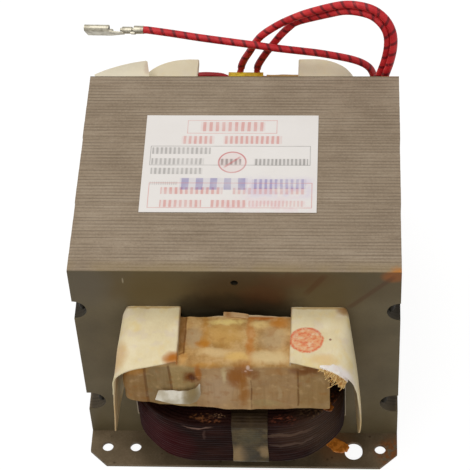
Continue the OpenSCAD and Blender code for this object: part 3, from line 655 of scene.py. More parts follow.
@dataclass(frozen=True)
class WrapPaper(Finish):
    """Brown paper round the secondary winding, soaked and stained by varnish. The stains, seams
    and panels of the front wrap are placed across it and down from its rim, over the fold."""

    name: str = "wrap_paper"
    slot: str = "wrap_paper"
    rim_y: float = 45.0
    reach: float = 63.5
    top_z: float = 68.2
    panels: tuple[tuple[Spot, Shade], ...] = (
        ((-40.0, -28.2), (158, 118, 66)), ((-28.2, -20.2), (146, 122, 78)),
        ((-20.2, -12.5), (180, 154, 100)), ((-12.5, 5.2), (200, 160, 114)),
        ((5.2, 19.5), (182, 144, 98)), ((19.5, 40.0), (166, 132, 82)))
    stains: tuple[Stain, ...] = ovals(
        (-13.0, 8.5, 2.8, 3.6, 180, 154, 118, 0.75), (-9.5, 7.0, 1.2, 5.6, 188, 130, 50, 0.75),
        (-10.0, 10.8, 2.0, 1.4, 192, 124, 36, 0.85), (-3.0, 6.5, 5.0, 4.6, 208, 162, 88, 0.75),
        (-2.6, 2.3, 4.6, 0.8, 240, 212, 134, 0.95), (-5.5, 14.2, 4.6, 1.4, 230, 198, 144, 0.8),
        (1.0, 15.8, 3.2, 1.6, 232, 190, 112, 0.8), (5.0, 8.0, 1.1, 8.0, 194, 118, 40, 0.7),
        (8.5, 0.2, 3.8, 0.9, 184, 100, 26, 0.85), (8.0, 3.2, 2.6, 1.3, 238, 204, 136, 0.9),
        (14.0, 2.2, 2.4, 2.2, 202, 128, 42, 0.85), (12.0, 9.0, 3.8, 3.6, 194, 168, 128, 0.7),
        (11.0, 15.8, 5.2, 1.9, 228, 202, 150, 0.85), (-9.0, 18.9, 3.8, 1.0, 206, 150, 74, 0.8),
        (-16.4, 16.4, 1.5, 1.8, 220, 168, 96, 0.7), (3.6, 21.0, 1.8, 2.4, 162, 90, 20, 0.75),
        (-13.6, 24.8, 2.2, 2.4, 124, 66, 8, 1.0), (-13.2, 24.8, 0.9, 1.1, 84, 38, 4, 0.8),
        (-11.2, 22.5, 0.7, 3.4, 186, 112, 36, 0.85), (-5.5, 31.5, 3.8, 7.0, 200, 168, 132, 0.75),
        (-3.4, 23.5, 0.7, 3.0, 226, 202, 152, 0.8), (0.6, 24.5, 2.4, 4.6, 156, 90, 14, 0.85),
        (2.9, 31.5, 1.4, 6.4, 168, 106, 34, 0.8), (6.0, 23.0, 1.8, 2.2, 146, 88, 36, 0.7),
        # The reddish-brown row at (22.5, 21) is a painted shadow near the fold.
        (13.5, 22.0, 3.2, 1.3, 188, 140, 84, 0.5), (22.5, 21.0, 4.4, 1.8, 124, 68, 20, 0.85),
        (9.5, 38.5, 4.6, 1.6, 178, 156, 104, 0.6), (-31.5, 21.0, 3.4, 2.6, 206, 140, 50, 0.6),
        (14.0, 33.0, 0.5, 3.0, 196, 170, 128, 0.5))
    # Painted highlights: small glossy glints on the front.
    glints: tuple[Stain, ...] = ovals(
        (4.5, 19.7, 0.5, 0.8, 244, 216, 196, 0.7), (5.4, 20.8, 0.6, 0.35, 240, 206, 186, 0.6),
        (3.7, 21.3, 0.35, 0.4, 240, 206, 186, 0.6))
    seams: tuple[Stroke, ...] = (
        ((-28.2, 19.0), (-28.2, 40.0), 0.9), ((-20.4, 19.0), (-20.0, 34.0), 0.8),
        ((5.3, 26.0), (4.9, 42.0), 0.5), ((-16.6, -1.0), (-16.6, 14.0), 1.9),
        ((-15.7, -1.0), (-15.9, 15.0), 0.5), ((-17.4, 15.2), (-15.6, 14.2), 0.6),
        ((20.2, 21.0), (20.0, 40.0), 0.6), ((-3.5, 0.0), (4.0, -0.2), 0.5))

    def paint(self, s: Shader) -> bpy.types.Material:
        """Panels of papers that overlap, with amber and pale stains, seams, fibres and creases, a
        painted shadow near the fold and small painted highlights.
        """
        fold = (self.top_z - s.z).over(0.0)
        down = (s.y * -1.0).under(self.reach) + fold - self.rim_y
        clouds = s.noise(6, 5, seed=4)
        fibre = s.noise(0.8, 2, (1, 1, 4), seed=6)
        paper = clouds * 0.8 + fibre * 0.2
        top = s.ramp(paper, (0.32, 0.48, 0.64), (164, 122, 66), (196, 154, 96), (214, 178, 122))
        front = s.ramp(paper, (0.32, 0.5, 0.68), (142, 106, 62), (172, 138, 92), (192, 160, 114))
        for limits, shade in self.panels:
            front = s.mix(s.x.within(limits, 0.5) * 0.65, front, shade)
        colour = s.mix(fold.step(0.3, 1.6), top, front)
        across, deep = s.warped(s.x, 4, 3, 4, 1), s.warped(down, 4, 3, 4, 2)
        colour = s.stained(colour, across, deep, self.stains)
        for start, end, width in self.seams:
            seam = s.stroke(s.x + (clouds - 0.5) * 0.8, down, start, end, width)
            colour = s.mix(seam * 0.6, colour, (104, 58, 12))
        streaks = s.noise(1.0, 2, (1, 1, 14), seed=12)
        upright = fold.step(1.0, 4.0)
        colour = s.mix(streaks.step(0.5, 0.72) * upright * 0.14, colour, (206, 172, 122))
        colour = s.mix(streaks.step(0.48, 0.3) * upright * 0.14, colour, (128, 90, 48))
        mottle = s.noise(3.2, 3, seed=13)
        colour = s.mix(mottle.step(0.46, 0.3) * 0.35, colour, (164, 104, 40))
        colour = s.mix(mottle.step(0.54, 0.72) * 0.3, colour, (228, 192, 138))
        rim = (s.y * -1.0).step(self.rim_y + 0.4, self.rim_y - 0.4) * s.y.step(0, -1)
        colour = s.mix(rim * 0.8, colour, (222, 202, 164))
        # Painted highlights.
        colour = s.stained(colour, s.x, down, self.glints)
        wet = s.noise(4, 4, seed=9).step(0.46, 0.64)
        height = fibre * 0.03 + clouds * 0.5 + s.noise(2.0, 3, seed=3) * 0.16
        return s.look(
            colour, wet * -0.15 + 0.55, height, coat=wet * 0.05, specular=0.08, coat_roughness=0.3)


@dataclass(frozen=True)
class LinerPaper(Finish):
    """Cream slot liner paper with varnish stains at its edges, and a faded round mark on one."""

    name: str = "liner_paper"
    slot: str = "liner_paper"
    stains: tuple[Stain, ...] = ()
    mark: bool = False
    mark_middle: Spot = (22.7, -55.5)
    mark_radii: Spot = (5.1, 4.6)

    def paint(self, s: Shader) -> bpy.types.Material:
        """Cream with soft yellow and pink clouds, browned edges and stains."""
        clouds = s.noise(6, 4, seed=3)
        fibre = s.noise(0.5, 4, (1, 2, 1), seed=5)
        colour = s.ramp(
            clouds * 0.8 + fibre * 0.2, (0.28, 0.5, 0.75),
            (228, 209, 164), (240, 224, 182), (248, 235, 202))
        colour = s.mix(s.noise(4, 3, seed=7).step(0.5, 0.7) * 0.5, colour, (230, 212, 190))
        colour = s.mix(s.noise(5, 3, seed=8).step(0.52, 0.7) * 0.5, colour, (238, 212, 140))
        inner = s.x.size().step(18.2, 17.5) * s.noise(2, 3, (1, 5, 1)).step(0.3, 0.55)
        colour = s.mix(inner * 0.8, colour, (150, 104, 50))
        low = s.z.step(60, 40) * s.noise(4, 3, (1, 1, 2), seed=8).step(0.25, 0.6)
        colour = s.mix(low * 0.5, colour, (204, 160, 92))
        colour = s.mix(s.z.step(34, 24) * 0.5, colour, (186, 144, 82))
        colour = s.stained(colour, s.warped(s.x, 3, 2), s.warped(s.y, 3, 2, seed=4), self.stains)
        if self.mark:
            colour = self.marked(s, colour)
        colour = s.mix(s.y.step(42, 52) * 0.6, colour, (248, 238, 212))
        return s.look(colour, 0.62, fibre * 0.03 + clouds * 0.25, specular=0.25)

    def marked(self, s: Shader, colour: Value) -> Value:
        """The faded round mark: a ring, smudges within it, a tint, and a dot beside it."""
        loose = (s.noise(1.6, 3, seed=2) - 0.5) * 0.7
        far = s.oval(s.x + loose, s.y + loose, self.mark_middle, self.mark_radii) ** 0.5
        smudges = s.noise(1.1, 2, (1.3, 0.8, 1), seed=11).step(0.44, 0.62)
        ring = far.step(0.82, 0.95) * far.step(1.13, 1.0)
        drawn = ring.over(smudges * far.step(0.86, 0.62) * 0.85)
        tint = far.step(1.06, 0.8) * (s.noise(1.5, 3, seed=19).step(0.3, 0.6) * 0.45 + 0.35)
        faded = s.noise(0.8, 3, seed=6).step(0.3, 0.55) * 0.5 + 0.35
        colour = s.mix(drawn * faded, s.mix(tint, colour, (238, 148, 92)), (228, 100, 54))
        return s.mix(s.spot(0.4, 0.4, x=30.2, y=-55.3) * 0.8, colour, (120, 44, 34))


@dataclass(frozen=True)
class Tape(Finish):
    """Plain tape or torn paper of one colour."""

    name: str = "white_tape"
    slot: str = "white_tape"
    light: Shade = (250, 244, 228)
    dark: Shade = (218, 208, 184)
    stains: tuple[Stain, ...] = ()
    grain: float = 3.0

    def paint(self, s: Shader) -> bpy.types.Material:
        """Clouded tape with small creases."""
        clouds = s.noise(self.grain, 4, (1, 1, 1.5))
        colour = s.mix(clouds.step(0.35, 0.68), self.light, self.dark)
        colour = s.stained(colour, s.x + (clouds - 0.5) * 2.0, s.z, self.stains)
        creases = s.noise(1.6, 4, (1, 1, 3), seed=2)
        return s.look(colour, 0.45, creases * 0.1, coat=0.03, specular=0.2)


@dataclass(frozen=True)
class BrightMetal(Finish):
    """Tin, brass or copper with a little tarnish."""

    name: str = "tinned_brass"
    slot: str = "tinned_brass"
    light: Shade = (184, 178, 160)
    dark: Shade = (124, 116, 98)
    roughness: float = 0.3

    def paint(self, s: Shader) -> bpy.types.Material:
        """Clouded tarnish and drawn grain."""
        clouds = s.noise(2.2, 4)
        colour = s.mix(clouds.step(0.4, 0.7) * 0.7, self.light, self.dark)
        grain = s.noise(0.25, 3, (8, 1, 1), seed=3)
        return s.look(colour, clouds * 0.2 + self.roughness, grain * 0.015, metallic=0.85)


@dataclass(frozen=True)
class LabelPaper(Finish):
    """White label with plain coloured bars, frames and a ring, and no words."""

    name: str = "label_paper"
    slot: str = "label_paper"
    red: Shade = (216, 122, 112)
    grey: Shade = (116, 112, 108)
    violet: Shade = (92, 76, 170)
    ring: Shade = (206, 96, 98)
    frames: tuple[tuple[Spot, Spot, str], ...] = (
        ((-17.8, 12.0), (16.0, 22.0), "red"), ((-29.4, 23.2), (1.9, 10.5), "grey"),
        ((-29.0, 24.0), (-16.4, -5.6), "red"))
    rows: tuple[tuple[Spot, Spot, str, float, float], ...] = (
        ((-13.4, 8.0), (17.0, 21.2), "red", 2.1, 0.7),
        ((-19.4, -8.6), (11.4, 14.9), "red", 1.7, 0.7),
        ((-5.6, 13.6), (11.4, 14.9), "red", 1.7, 0.7),
        ((-28.8, -9.6), (6.9, 9.8), "grey", 1.45, 0.6),
        ((-28.8, -11.6), (2.3, 5.0), "grey", 1.45, 0.6),
        ((-28.8, -11.8), (-1.9, 0.8), "grey", 1.45, 0.6),
        ((-6.6, 0.6), (2.2, 4.8), "grey", 1.5, 0.8), ((4.8, 22.4), (2.0, 4.8), "grey", 1.3, 0.75),
        ((-29.0, -19.6), (-6.6, -5.2), "grey", 0.7, 0.35),
        ((-25.0, -5.0), (-10.5, -7.6), "red", 1.7, 0.7),
        ((-1.6, 21.6), (-10.5, -7.8), "red", 1.7, 0.5),
        ((-25.0, -11.6), (-16.0, -13.0), "red", 1.7, 0.7),
        ((-8.6, 3.0), (-16.0, -13.0), "red", 1.7, 0.65),
        ((3.6, 21.6), (-15.8, -13.2), "red", 1.2, 0.4),
        ((-19.0, 3.0), (-8.6, -3.6), "violet", 4.6, 0.65),
        ((4.4, 22.0), (-8.2, -4.0), "violet", 1.7, 0.6))

    def paint(self, s: Shader) -> bpy.types.Material:
        """Faded rows of bars from the top down, the frames, the ring, and violet and pink hazes."""
        faded = s.noise(7.0, 2, seed=2).step(0.3, 0.6) * 0.3 + 0.6
        smudge = s.noise(3, 3, seed=5)
        colour = s.mix(s.noise(14, 3), (246, 242, 238), (238, 233, 228))
        haze = s.patch((2.0, 24.0), (-12.0, -3.6), 4.0) * smudge.step(0.3, 0.6)
        colour = s.mix(haze * 0.4, colour, (208, 192, 226))
        haze = s.patch((-4.0, 24.0), (-18.0, -11.5), 3.0) * smudge.step(0.6, 0.35)
        colour = s.mix(haze * 0.4, colour, (238, 206, 212))
        across = s.warped(s.x, 7.0, 0.5, 2, 8)
        for x, y, shade, pitch, strength in self.rows:
            bars = (across.wave(pitch).step(0.4, 0.6) * 0.75 + 0.25) * s.patch(x, y, 0.35)
            colour = s.mix(bars * faded * strength, colour, getattr(self, shade))
        for x, y, shade in self.frames:
            colour = s.mix(s.frame_lines(x, y, 0.28) * faded * 0.6, colour, getattr(self, shade))
        far = ((s.x + 2.3) ** 2.0 + (s.y - 3.3) ** 2.0) ** 0.5
        colour = s.mix(far.step(4.6, 4.0) * 0.12, colour, (232, 150, 150))
        colour = s.mix(far.step(4.1, 4.3) * far.step(4.8, 4.6) * faded * 0.85, colour, self.ring)
        colour = s.mix(s.stroke(s.x, s.y, (-4.8, 1.2), (0.2, 5.6), 0.7) * 0.5, colour, self.ring)
        return s.look(colour, 0.5, s.noise(9, 3, seed=4) * 0.15, specular=0.4)


@dataclass(frozen=True)
class Varnish(Finish):
    """Drops and runs of amber varnish."""

    name: str = "varnish"
    slot: str = "brown_tape"
    light: Shade = (250, 156, 60)
    dark: Shade = (206, 118, 36)

    def paint(self, s: Shader) -> bpy.types.Material:
        """Amber, darker where it is thick."""
        thick = s.noise(1.6, 3)
        colour = s.mix(thick.step(0.4, 0.62), self.light, self.dark)
        return s.look(colour, 0.2, thick * 0.08, coat=0.25, coat_roughness=0.12, specular=0.3)


def only(piece: bpy.types.Object) -> None:
    """Selects one object alone and makes it active."""
    bpy.ops.object.select_all(action="DESELECT")
    piece.select_set(True)
    bpy.context.view_layer.objects.active = piece


def primitive(kind: str, name: str, **settings: object) -> bpy.types.Object:
    """Adds a mesh primitive at the row's origin, with everything else deselected."""
    bpy.ops.object.select_all(action="DESELECT")
    getattr(bpy.ops.mesh, f"primitive_{kind}_add")(**settings)
    piece = bpy.context.object
    piece.name = piece.data.name = name
    return piece


def linked(name: str, data: bpy.types.ID) -> bpy.types.Object:
    """A new object with the given data, in the scene."""
    made = bpy.data.objects.new(name, data)
    bpy.context.scene.collection.objects.link(made)
    return made


def apply(piece: bpy.types.Object, kind: str, **settings: object) -> None:
    """Adds a modifier and applies it at once."""
    only(piece)
    modifier = piece.modifiers.new(kind.lower(), kind)
    for key, value in settings.items():
        setattr(modifier, key, value)
    bpy.ops.object.modifier_apply(modifier=modifier.name)


def smooth(piece: bpy.types.Object, degrees: float) -> None:
    """Shades smooth, with edges sharper than the angle kept."""
    only(piece)
    bpy.ops.object.shade_smooth_by_angle(angle=math.radians(degrees))


def hand_over(piece: bpy.types.Object, finish: Finish, *replaced: str) -> bpy.types.Object:
    """Rides a piece on the frame, gives it its finish, and hides what it replaces."""
    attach(piece, "root")
    finish.on(piece)
    if replaced:
        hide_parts(*replaced)
    return piece


def laid_sheet(name: str, across: int, rows: int, shape: Shape, thick: float, offset: float = 0.0,
               level: int = 1, degrees: float = 50.0) -> bpy.types.Object:
    """A grid whose points are laid by a function and then given a thickness.

    Args:
        name: The piece's name.
        across: Faces across the sheet.
        rows: Faces along it.
        shape: Gives a point in mm for places of 0 to 1 across and along.
        thick: Thickness in mm.
        offset: Side of the thickness, as in the Solidify modifier.
        level: Level of subdivision.
        degrees: Edges sharper than this stay sharp.

    Returns:
        The new object.
    """
    piece = primitive("grid", name, x_subdivisions=across, y_subdivisions=rows, size=2)
    for point in piece.data.vertices:
        point.co = Vector(shape((point.co.x + 1) / 2, (point.co.y + 1) / 2)) * MM
    if level:
        apply(piece, "SUBSURF", levels=level, render_levels=level)
    apply(piece, "SOLIDIFY", thickness=thick * MM, offset=offset, use_even_offset=False)
    smooth(piece, degrees)
    return piece


def merged_copy(node: str, name: str) -> bpy.types.Object:
    """A copy of a CAD node with its points merged and its triangles joined into quads."""
    piece = linked(name, frame["nodes"][node].data.copy())
    only(piece)
    bpy.ops.object.mode_set(mode="EDIT")
    bpy.ops.mesh.select_all(action="SELECT")
    bpy.ops.mesh.remove_doubles(threshold=1e-6)
    bpy.ops.mesh.tris_convert_to_quads(face_threshold=0.7, shape_threshold=0.7)
    bpy.ops.object.mode_set(mode="OBJECT")
    return piece


def tube(name: str, path: Sequence[Vector], radius: float, sides: int = 14) -> bpy.types.Object:
    """A closed tube round a path in mm, with UVs of mm along it and turns round it."""
    points, faces, uvs, marks = [], [], [], []
    side, travelled = Vector((0.1, 0.2, 1)), 0.0
    for i, centre in enumerate(path):
        way = (path[min(i + 1, len(path) - 1)] - path[max(i - 1, 0)]).normalized()
        side = (side - way * side.dot(way)).normalized()
        other = way.cross(side)
        travelled += (centre - path[i - 1]).length if i else 0.0
        marks.append(travelled)
        for k in range(sides):
            a = 2 * math.pi * k / sides
            points.append((centre + (side * math.cos(a) + other * math.sin(a)) * radius) * MM)
    for i, (near, far) in enumerate(zip(marks, marks[1:])):
        for k in range(sides):
            a, b = i * sides + k, i * sides + (k + 1) % sides
            faces.append((a, b, b + sides, a + sides))
            turn, after = k / sides, (k + 1) / sides
            uvs += [(near, turn), (near, after), (far, after), (far, turn)]
    last = (len(path) - 1) * sides
    faces += [tuple(range(sides - 1, -1, -1)), tuple(range(last, last + sides))]
    uvs += [(0.0, 0.0)] * sides + [(travelled, 0.0)] * sides
    mesh = bpy.data.meshes.new(name)
    mesh.from_pydata(points, [], faces)
    for loop, uv in zip(mesh.uv_layers.new(name="along").data, uvs):
        loop.uv = uv
    piece = linked(name, mesh)
    smooth(piece, 60)
    return piece


@dataclass
class Studio:
    """The photograph's camera, a white floor and soft light."""

    place: Point = (0.038594, -0.447281, 0.590046)
    turn: Point = (39.9889, 2.4248, 2.3824)
    lens: float = 158.63
    aim: Point = (0, 0, 0.05)
    ambient: float = 0.42
    key_power: float = 4.4
    fill_power: float = 0.7
    floor_grey: float = 0.72
    floor_glow: float = 1.25
    floor_share: float = 0.72

    def camera(self) -> None:
        """Makes the camera at the photograph's place and turn."""
        data = bpy.data.cameras.new("camera")
        data.lens, data.sensor_width = self.lens, 36.0
        data.clip_start, data.clip_end = 0.01, 20.0
        camera = linked("camera", data)
        camera.location = self.place
        camera.rotation_euler = Euler([math.radians(a) for a in self.turn], "XYZ")
        bpy.context.scene.camera = camera

    def seen(self, nodes: Nodes) -> Value:
        """Adds nodes that give 1 for rays of the camera, of gloss and of transmission."""
        seen = nodes.add("ShaderNodeLightPath", out="Is Camera Ray")
        rays = seen.socket.node.outputs
        for name in ("Is Glossy Ray", "Is Transmission Ray"):
            seen = seen.over(Value(nodes, rays[name]))
        return seen

    def world(self) -> None:
        """White to the eye, and soft grey light on the object."""
        world = bpy.data.worlds.new("studio")
        bpy.context.scene.world = world
        nodes = Nodes(world)
        lit = {"Color": (1.0, 0.98, 0.95, 1.0), "Strength": self.ambient}
        mixed = nodes.add("ShaderNodeMixShader", None, {
            0: self.seen(nodes), 1: nodes.add("ShaderNodeBackground", None, lit),
            2: nodes.add("ShaderNodeBackground", None, {"Color": (1.0, 1.0, 1.0, 1.0)})})
        nodes.add("ShaderNodeOutputWorld", None, {"Surface": mixed})

    def floor(self) -> None:
        """A pale floor that looks white and keeps the object's shadow."""
        floor = primitive("plane", "floor", size=6.0)
        material = bpy.data.materials.new("floor")
        nodes = Nodes(material)
        pale = nodes.add("ShaderNodeBsdfDiffuse", None, {"Color": (*(self.floor_grey,) * 3, 1.0)})
        glow = nodes.add("ShaderNodeEmission", None, {"Strength": self.floor_glow})
        share = self.seen(nodes) * self.floor_share
        mixed = nodes.add("ShaderNodeMixShader", None, {0: share, 1: pale, 2: glow})
        nodes.add("ShaderNodeOutputMaterial", None, {"Surface": mixed})
        floor.data.materials.append(material)

    def lamp(self, name: str, place: Point, size: float, power: float) -> None:
        """A square soft box that points at the object."""
        data = bpy.data.lights.new(name, "AREA")
        data.size, data.energy = size, power
        lamp = linked(name, data)
        lamp.location = place
        way = Vector(self.aim) - Vector(place)
        lamp.rotation_euler = way.to_track_quat("-Z", "Y").to_euler()

    def build(self) -> None:
        """Builds the world, the floor and the lamps. The camera is made before."""
        self.world()
        self.floor()
        self.lamp("key", (-0.25, -0.05, 0.95), size=0.8, power=self.key_power)
        self.lamp("fill", (0.35, -0.9, 0.7), size=0.7, power=self.fill_power)
        bpy.context.scene.view_settings.view_transform = "Standard"


@dataclass
class Leads:
    """The heater winding's two free leads and their receptacles."""

    radius: float = 1.3
    route_a: tuple[Point, ...] = (
        (-2.6, 65.1, 69.56), (-2.4, 65.4, 70.6), (-1.2, 65.6, 73.6), (0.8, 65.5, 77.5),
        (2.8, 65.1, 82), (5.2, 64.6, 86), (9.4, 64.2, 90.2), (14, 63.6, 94), (20.5, 62.4, 98.6),
        (28.4, 60.4, 103.4), (34, 58.6, 106.4), (39.2, 57, 107.4), (44, 55.4, 106.8),
        (47.8, 53.8, 104), (50, 52, 100), (50.4, 50.4, 95), (49.4, 49, 89), (47.8, 48, 83.5),
        (46.2, 47.6, 77), (45.5, 48, 71.5), (45.3, 49.2, 66.4), (45, 51.6, 62.4),
        (44.8, 55.4, 60.9), (44.6, 59.2, 62.8), (44.2, 61.9, 67.4), (42.9, 62.3, 71.7),
        (40.6, 62.1, 74.6), (37.2, 61.9, 76.7), (33, 61.6, 78.4), (25.4, 61.4, 80.5),
        (18.4, 61.3, 81.8), (9.8, 61.2, 83.3), (3, 61.2, 84.7), (-4, 61.8, 85.4), (-16, 63.6, 85.9),
        (-26.6, 65.2, 86.6), (-34.8, 66.49, 86.89), (-35.8, 66.6, 86.8),
    )
    route_b: tuple[Point, ...] = (
        (3.1, 64.9, 69.46), (3.3, 65.2, 70.5), (4.5, 65.5, 73), (6.2, 65.3, 76.4), (8.8, 65.1, 81),
        (11.6, 65, 85.6), (14.8, 65.1, 89.6), (18, 64.8, 92.6), (28.7, 60.4, 100.3),
        (34, 58.6, 103.3), (38.8, 57, 104.3), (43.1, 55.6, 103.8), (46.3, 54.3, 101.3),
        (48.1, 53.1, 97.8), (48.4, 52, 93.2), (47.5, 51, 87.5), (45.9, 50.1, 82.1),
        (43.6, 49, 75.6), (42.2, 47.6, 68.6), (41.8, 46.6, 60), (42, 46, 48), (42.6, 46.2, 34),
        (43.2, 47.6, 21), (43, 52, 10.8), (41.6, 57.4, 5.9), (38.6, 63, 3), (34, 68, 1.8),
        (27, 71.6, 1.5), (18, 73.6, 1.5), (8, 74.4, 1.5), (-1, 74.58, 1.6), (-2, 74.6, 1.6),
    )

    def lead(self, letter: str, route: Sequence[Point]) -> None:
        """One lead: a tube with a marked sleeve along its route."""
        path = along(route, gap=1.4)
        sleeve = Sleeve(name="lead_sleeve", marked=True)
        wire = tube(f"lead_{letter}", path, self.radius)
        hand_over(wire, sleeve, f"heater_lead_{letter}")

    def build(self) -> None:
        """Builds both leads and dresses the receptacles."""
        self.lead("a", self.route_a)
        self.lead("b", self.route_b)
        BrightMetal().on_nodes("lead_terminal_a", "lead_terminal_b")


@dataclass
class Core:
    """The stacked sheets, their weld beads and the mounting plate."""

    ripple: float = 1.9
    uneven: float = 0.16
    stand: float = 0.15

    def bead(self, node: str) -> None:
        """A weld bead with overlapping ripples, in the place of its CAD node."""
        low, high = box_mm(node)
        length = high.y - low.y
        wide, tall = (high.x - low.x) / 2, (high.z - low.z) / 2
        centre = (low + high) / 2
        shift = math.copysign(self.stand, low.x)

        def shape(u: float, v: float) -> Sequence[float]:
            """A point at an angle round the bead and a place along it."""
            angle = 2 * math.pi * u
            y = low.y + length * v
            phase = (y / self.ripple + 0.35 * math.cos(angle)) % 1.0
            swell = 1.0 - self.uneven * phase + 0.05 * rough(centre.x, y, angle * 2, 3)
            swell *= min(1.0, math.sqrt(max(0.0, 1 - (abs(2 * v - 1)) ** 30)))
            x, z = wide * swell * math.cos(angle), tall * swell * math.sin(angle)
            return centre.x + shift + x, y, centre.z + z

        rows = int(length / self.ripple * 4)
        made = laid_sheet(node + "_bead", 20, rows, shape, 0.2, offset=-1.0, level=0, degrees=60)
        hand_over(made, WeldMetal(), node)

    def build(self) -> None:
        """Dresses the sheets and the plate and builds the beads."""
        SheetSteel().on_nodes("e_core", "i_core")
        PlateSteel().on_nodes("mounting_plate")
        for node in ("joint_weld_left", "joint_weld_right", "stack_weld_left", "stack_weld_right"):
            self.bead(node)


@dataclass
class Windings:
    """Both windings, the heater winding, the formers, the shunts and the films."""

    pitch: float = 1.25
    long_edge: float = 8.0
    cuts: int = 9
    coil_end: float = 20.0
    wander: float = 0.26
    loose_left: float = 0.9
    loose_right: float = 1.4

    def primary(self) -> None:
        """The primary winding's turns, rounded, slightly uneven and loose at the coil's ends."""
        piece = merged_copy("primary_winding", "primary_turns")
        mesh = piece.data
        bpy.ops.object.mode_set(mode="EDIT")
        bpy.ops.mesh.select_all(action="DESELECT")
        bpy.ops.mesh.select_mode(type="EDGE")
        bpy.ops.object.mode_set(mode="OBJECT")
        for edge in mesh.edges:
            a, b = (mesh.vertices[i].co for i in edge.vertices)
            edge.select = (a - b).length > self.long_edge * MM and abs(a.z - b.z) < MM
        bpy.ops.object.mode_set(mode="EDIT")
        bpy.ops.mesh.subdivide(number_cuts=self.cuts)
        bpy.ops.object.mode_set(mode="OBJECT")
        apply(piece, "SUBSURF", levels=1, render_levels=1)
        for point in piece.data.vertices:
            x, y, z = point.co / MM
            push = self.wander * min(1, blend_in(50, 56, abs(y)) + blend_in(30, 33, abs(x)))
            layer = round(z / self.pitch)
            z += push * rough(x, y, layer * 9, 7)
            y += push * rough(x, layer * 9, y, 6)
            loose = math.sin(math.pi * min(1.0, max(0.0, (abs(y) - HALF_DEPTH) / self.coil_end)))
            loose *= self.loose_right if x > 0 else self.loose_left
            x += math.copysign(loose * blend_in(27, 33, abs(x)), x)
            point.co = Vector((x, y, z)) * MM
        smooth(piece, 60)
        hand_over(piece, WireEnamel(), "primary_winding")

    def raised_wire(self) -> None:
        """The heater winding's wire, which lies a little higher beside the yellow tape behind."""
        route = [(-21.5, 61.9, 66.9), (-19.0, 62.0, 68.4), (-16.0, 62.1, 69.0), (-12.0, 62.1, 68.9),
                 (-9.0, 62.0, 68.5), (-7.2, 61.9, 67.4)]
        hand_over(tube("heater_wire_bend", along(route, gap=1.0), radius=1.12), Sleeve())

    def build(self) -> None:
        """Builds the primary winding and dresses the nodes that keep their shapes."""
        self.primary()
        self.raised_wire()
        thin = "secondary_enamel"
        enamel = WireEnamel(thin, thin, dark=(96, 52, 26), light=(158, 98, 52), pitch=0.45)
        enamel.on_nodes("secondary_winding")
        Sleeve().on_nodes("heater_winding")
        Board().on_nodes("primary_former", "secondary_former")
        Film().on_nodes("primary_film_left", "primary_film_right")
        ShuntSteel().on_nodes("shunt_left", "shunt_right")
        LinerPaper("shunt_paper").on_nodes("shunt_paper_left", "shunt_paper_right")
        bare = "bare_copper"
        copper = BrightMetal(bare, bare, light=(196, 128, 88), dark=(120, 74, 48), roughness=0.35)
        copper.on_nodes("ground_wire")
        brass = BrightMetal("tab_brass", "tab_brass", light=(206, 178, 112), dark=(150, 118, 64))
        brass.on_nodes("primary_tab_left", "primary_tab_right", "high_voltage_tab")


@dataclass
class PrimaryTape:
    """The brown tape over the primary winding's front end."""

    thick: float = 0.3
    bend: float = 1.1
    under: float = 6.0

    def build(self) -> None:
        """Lays the tape over the top, the edge and the front, and a little way under."""
        low, high = box_mm("primary_tape")
        half, bend = self.thick / 2, self.bend
        top, front, back, bottom = high.z - half, low.y + half, high.y, low.z + half
        edge = bend * math.pi / 2
        legs = (back - front - bend, edge, top - bottom - 2 * bend, edge, self.under)

        def shape(u: float, v: float) -> Sequence[float]:
            """A point across the tape and along its legs."""
            x = low.x + (high.x - low.x) * u + 0.25 * rough(0, v * 20, u * 2, 3) * (2 * u - 1)
            s, leg = v * sum(legs), 0
            ripple = 0.1 * rough(x, s, 0, 2.2) + 0.06
            while leg < len(legs) - 1 and s >= legs[leg]:
                s -= legs[leg]
                leg += 1
            a, outer = s / bend, bend + ripple
            return x, *(
                (back - s, top + ripple),
                (front + bend - outer * math.sin(a), top - bend + outer * math.cos(a)),
                (front - ripple, top - bend - s),
                (front + bend - bend * math.cos(a), bottom + bend - bend * math.sin(a)),
                (front + bend + s, bottom),
            )[leg]

        piece = laid_sheet("primary_front_tape", 12, 56, shape, self.thick)
        hand_over(piece, GlossTape(), "primary_tape")


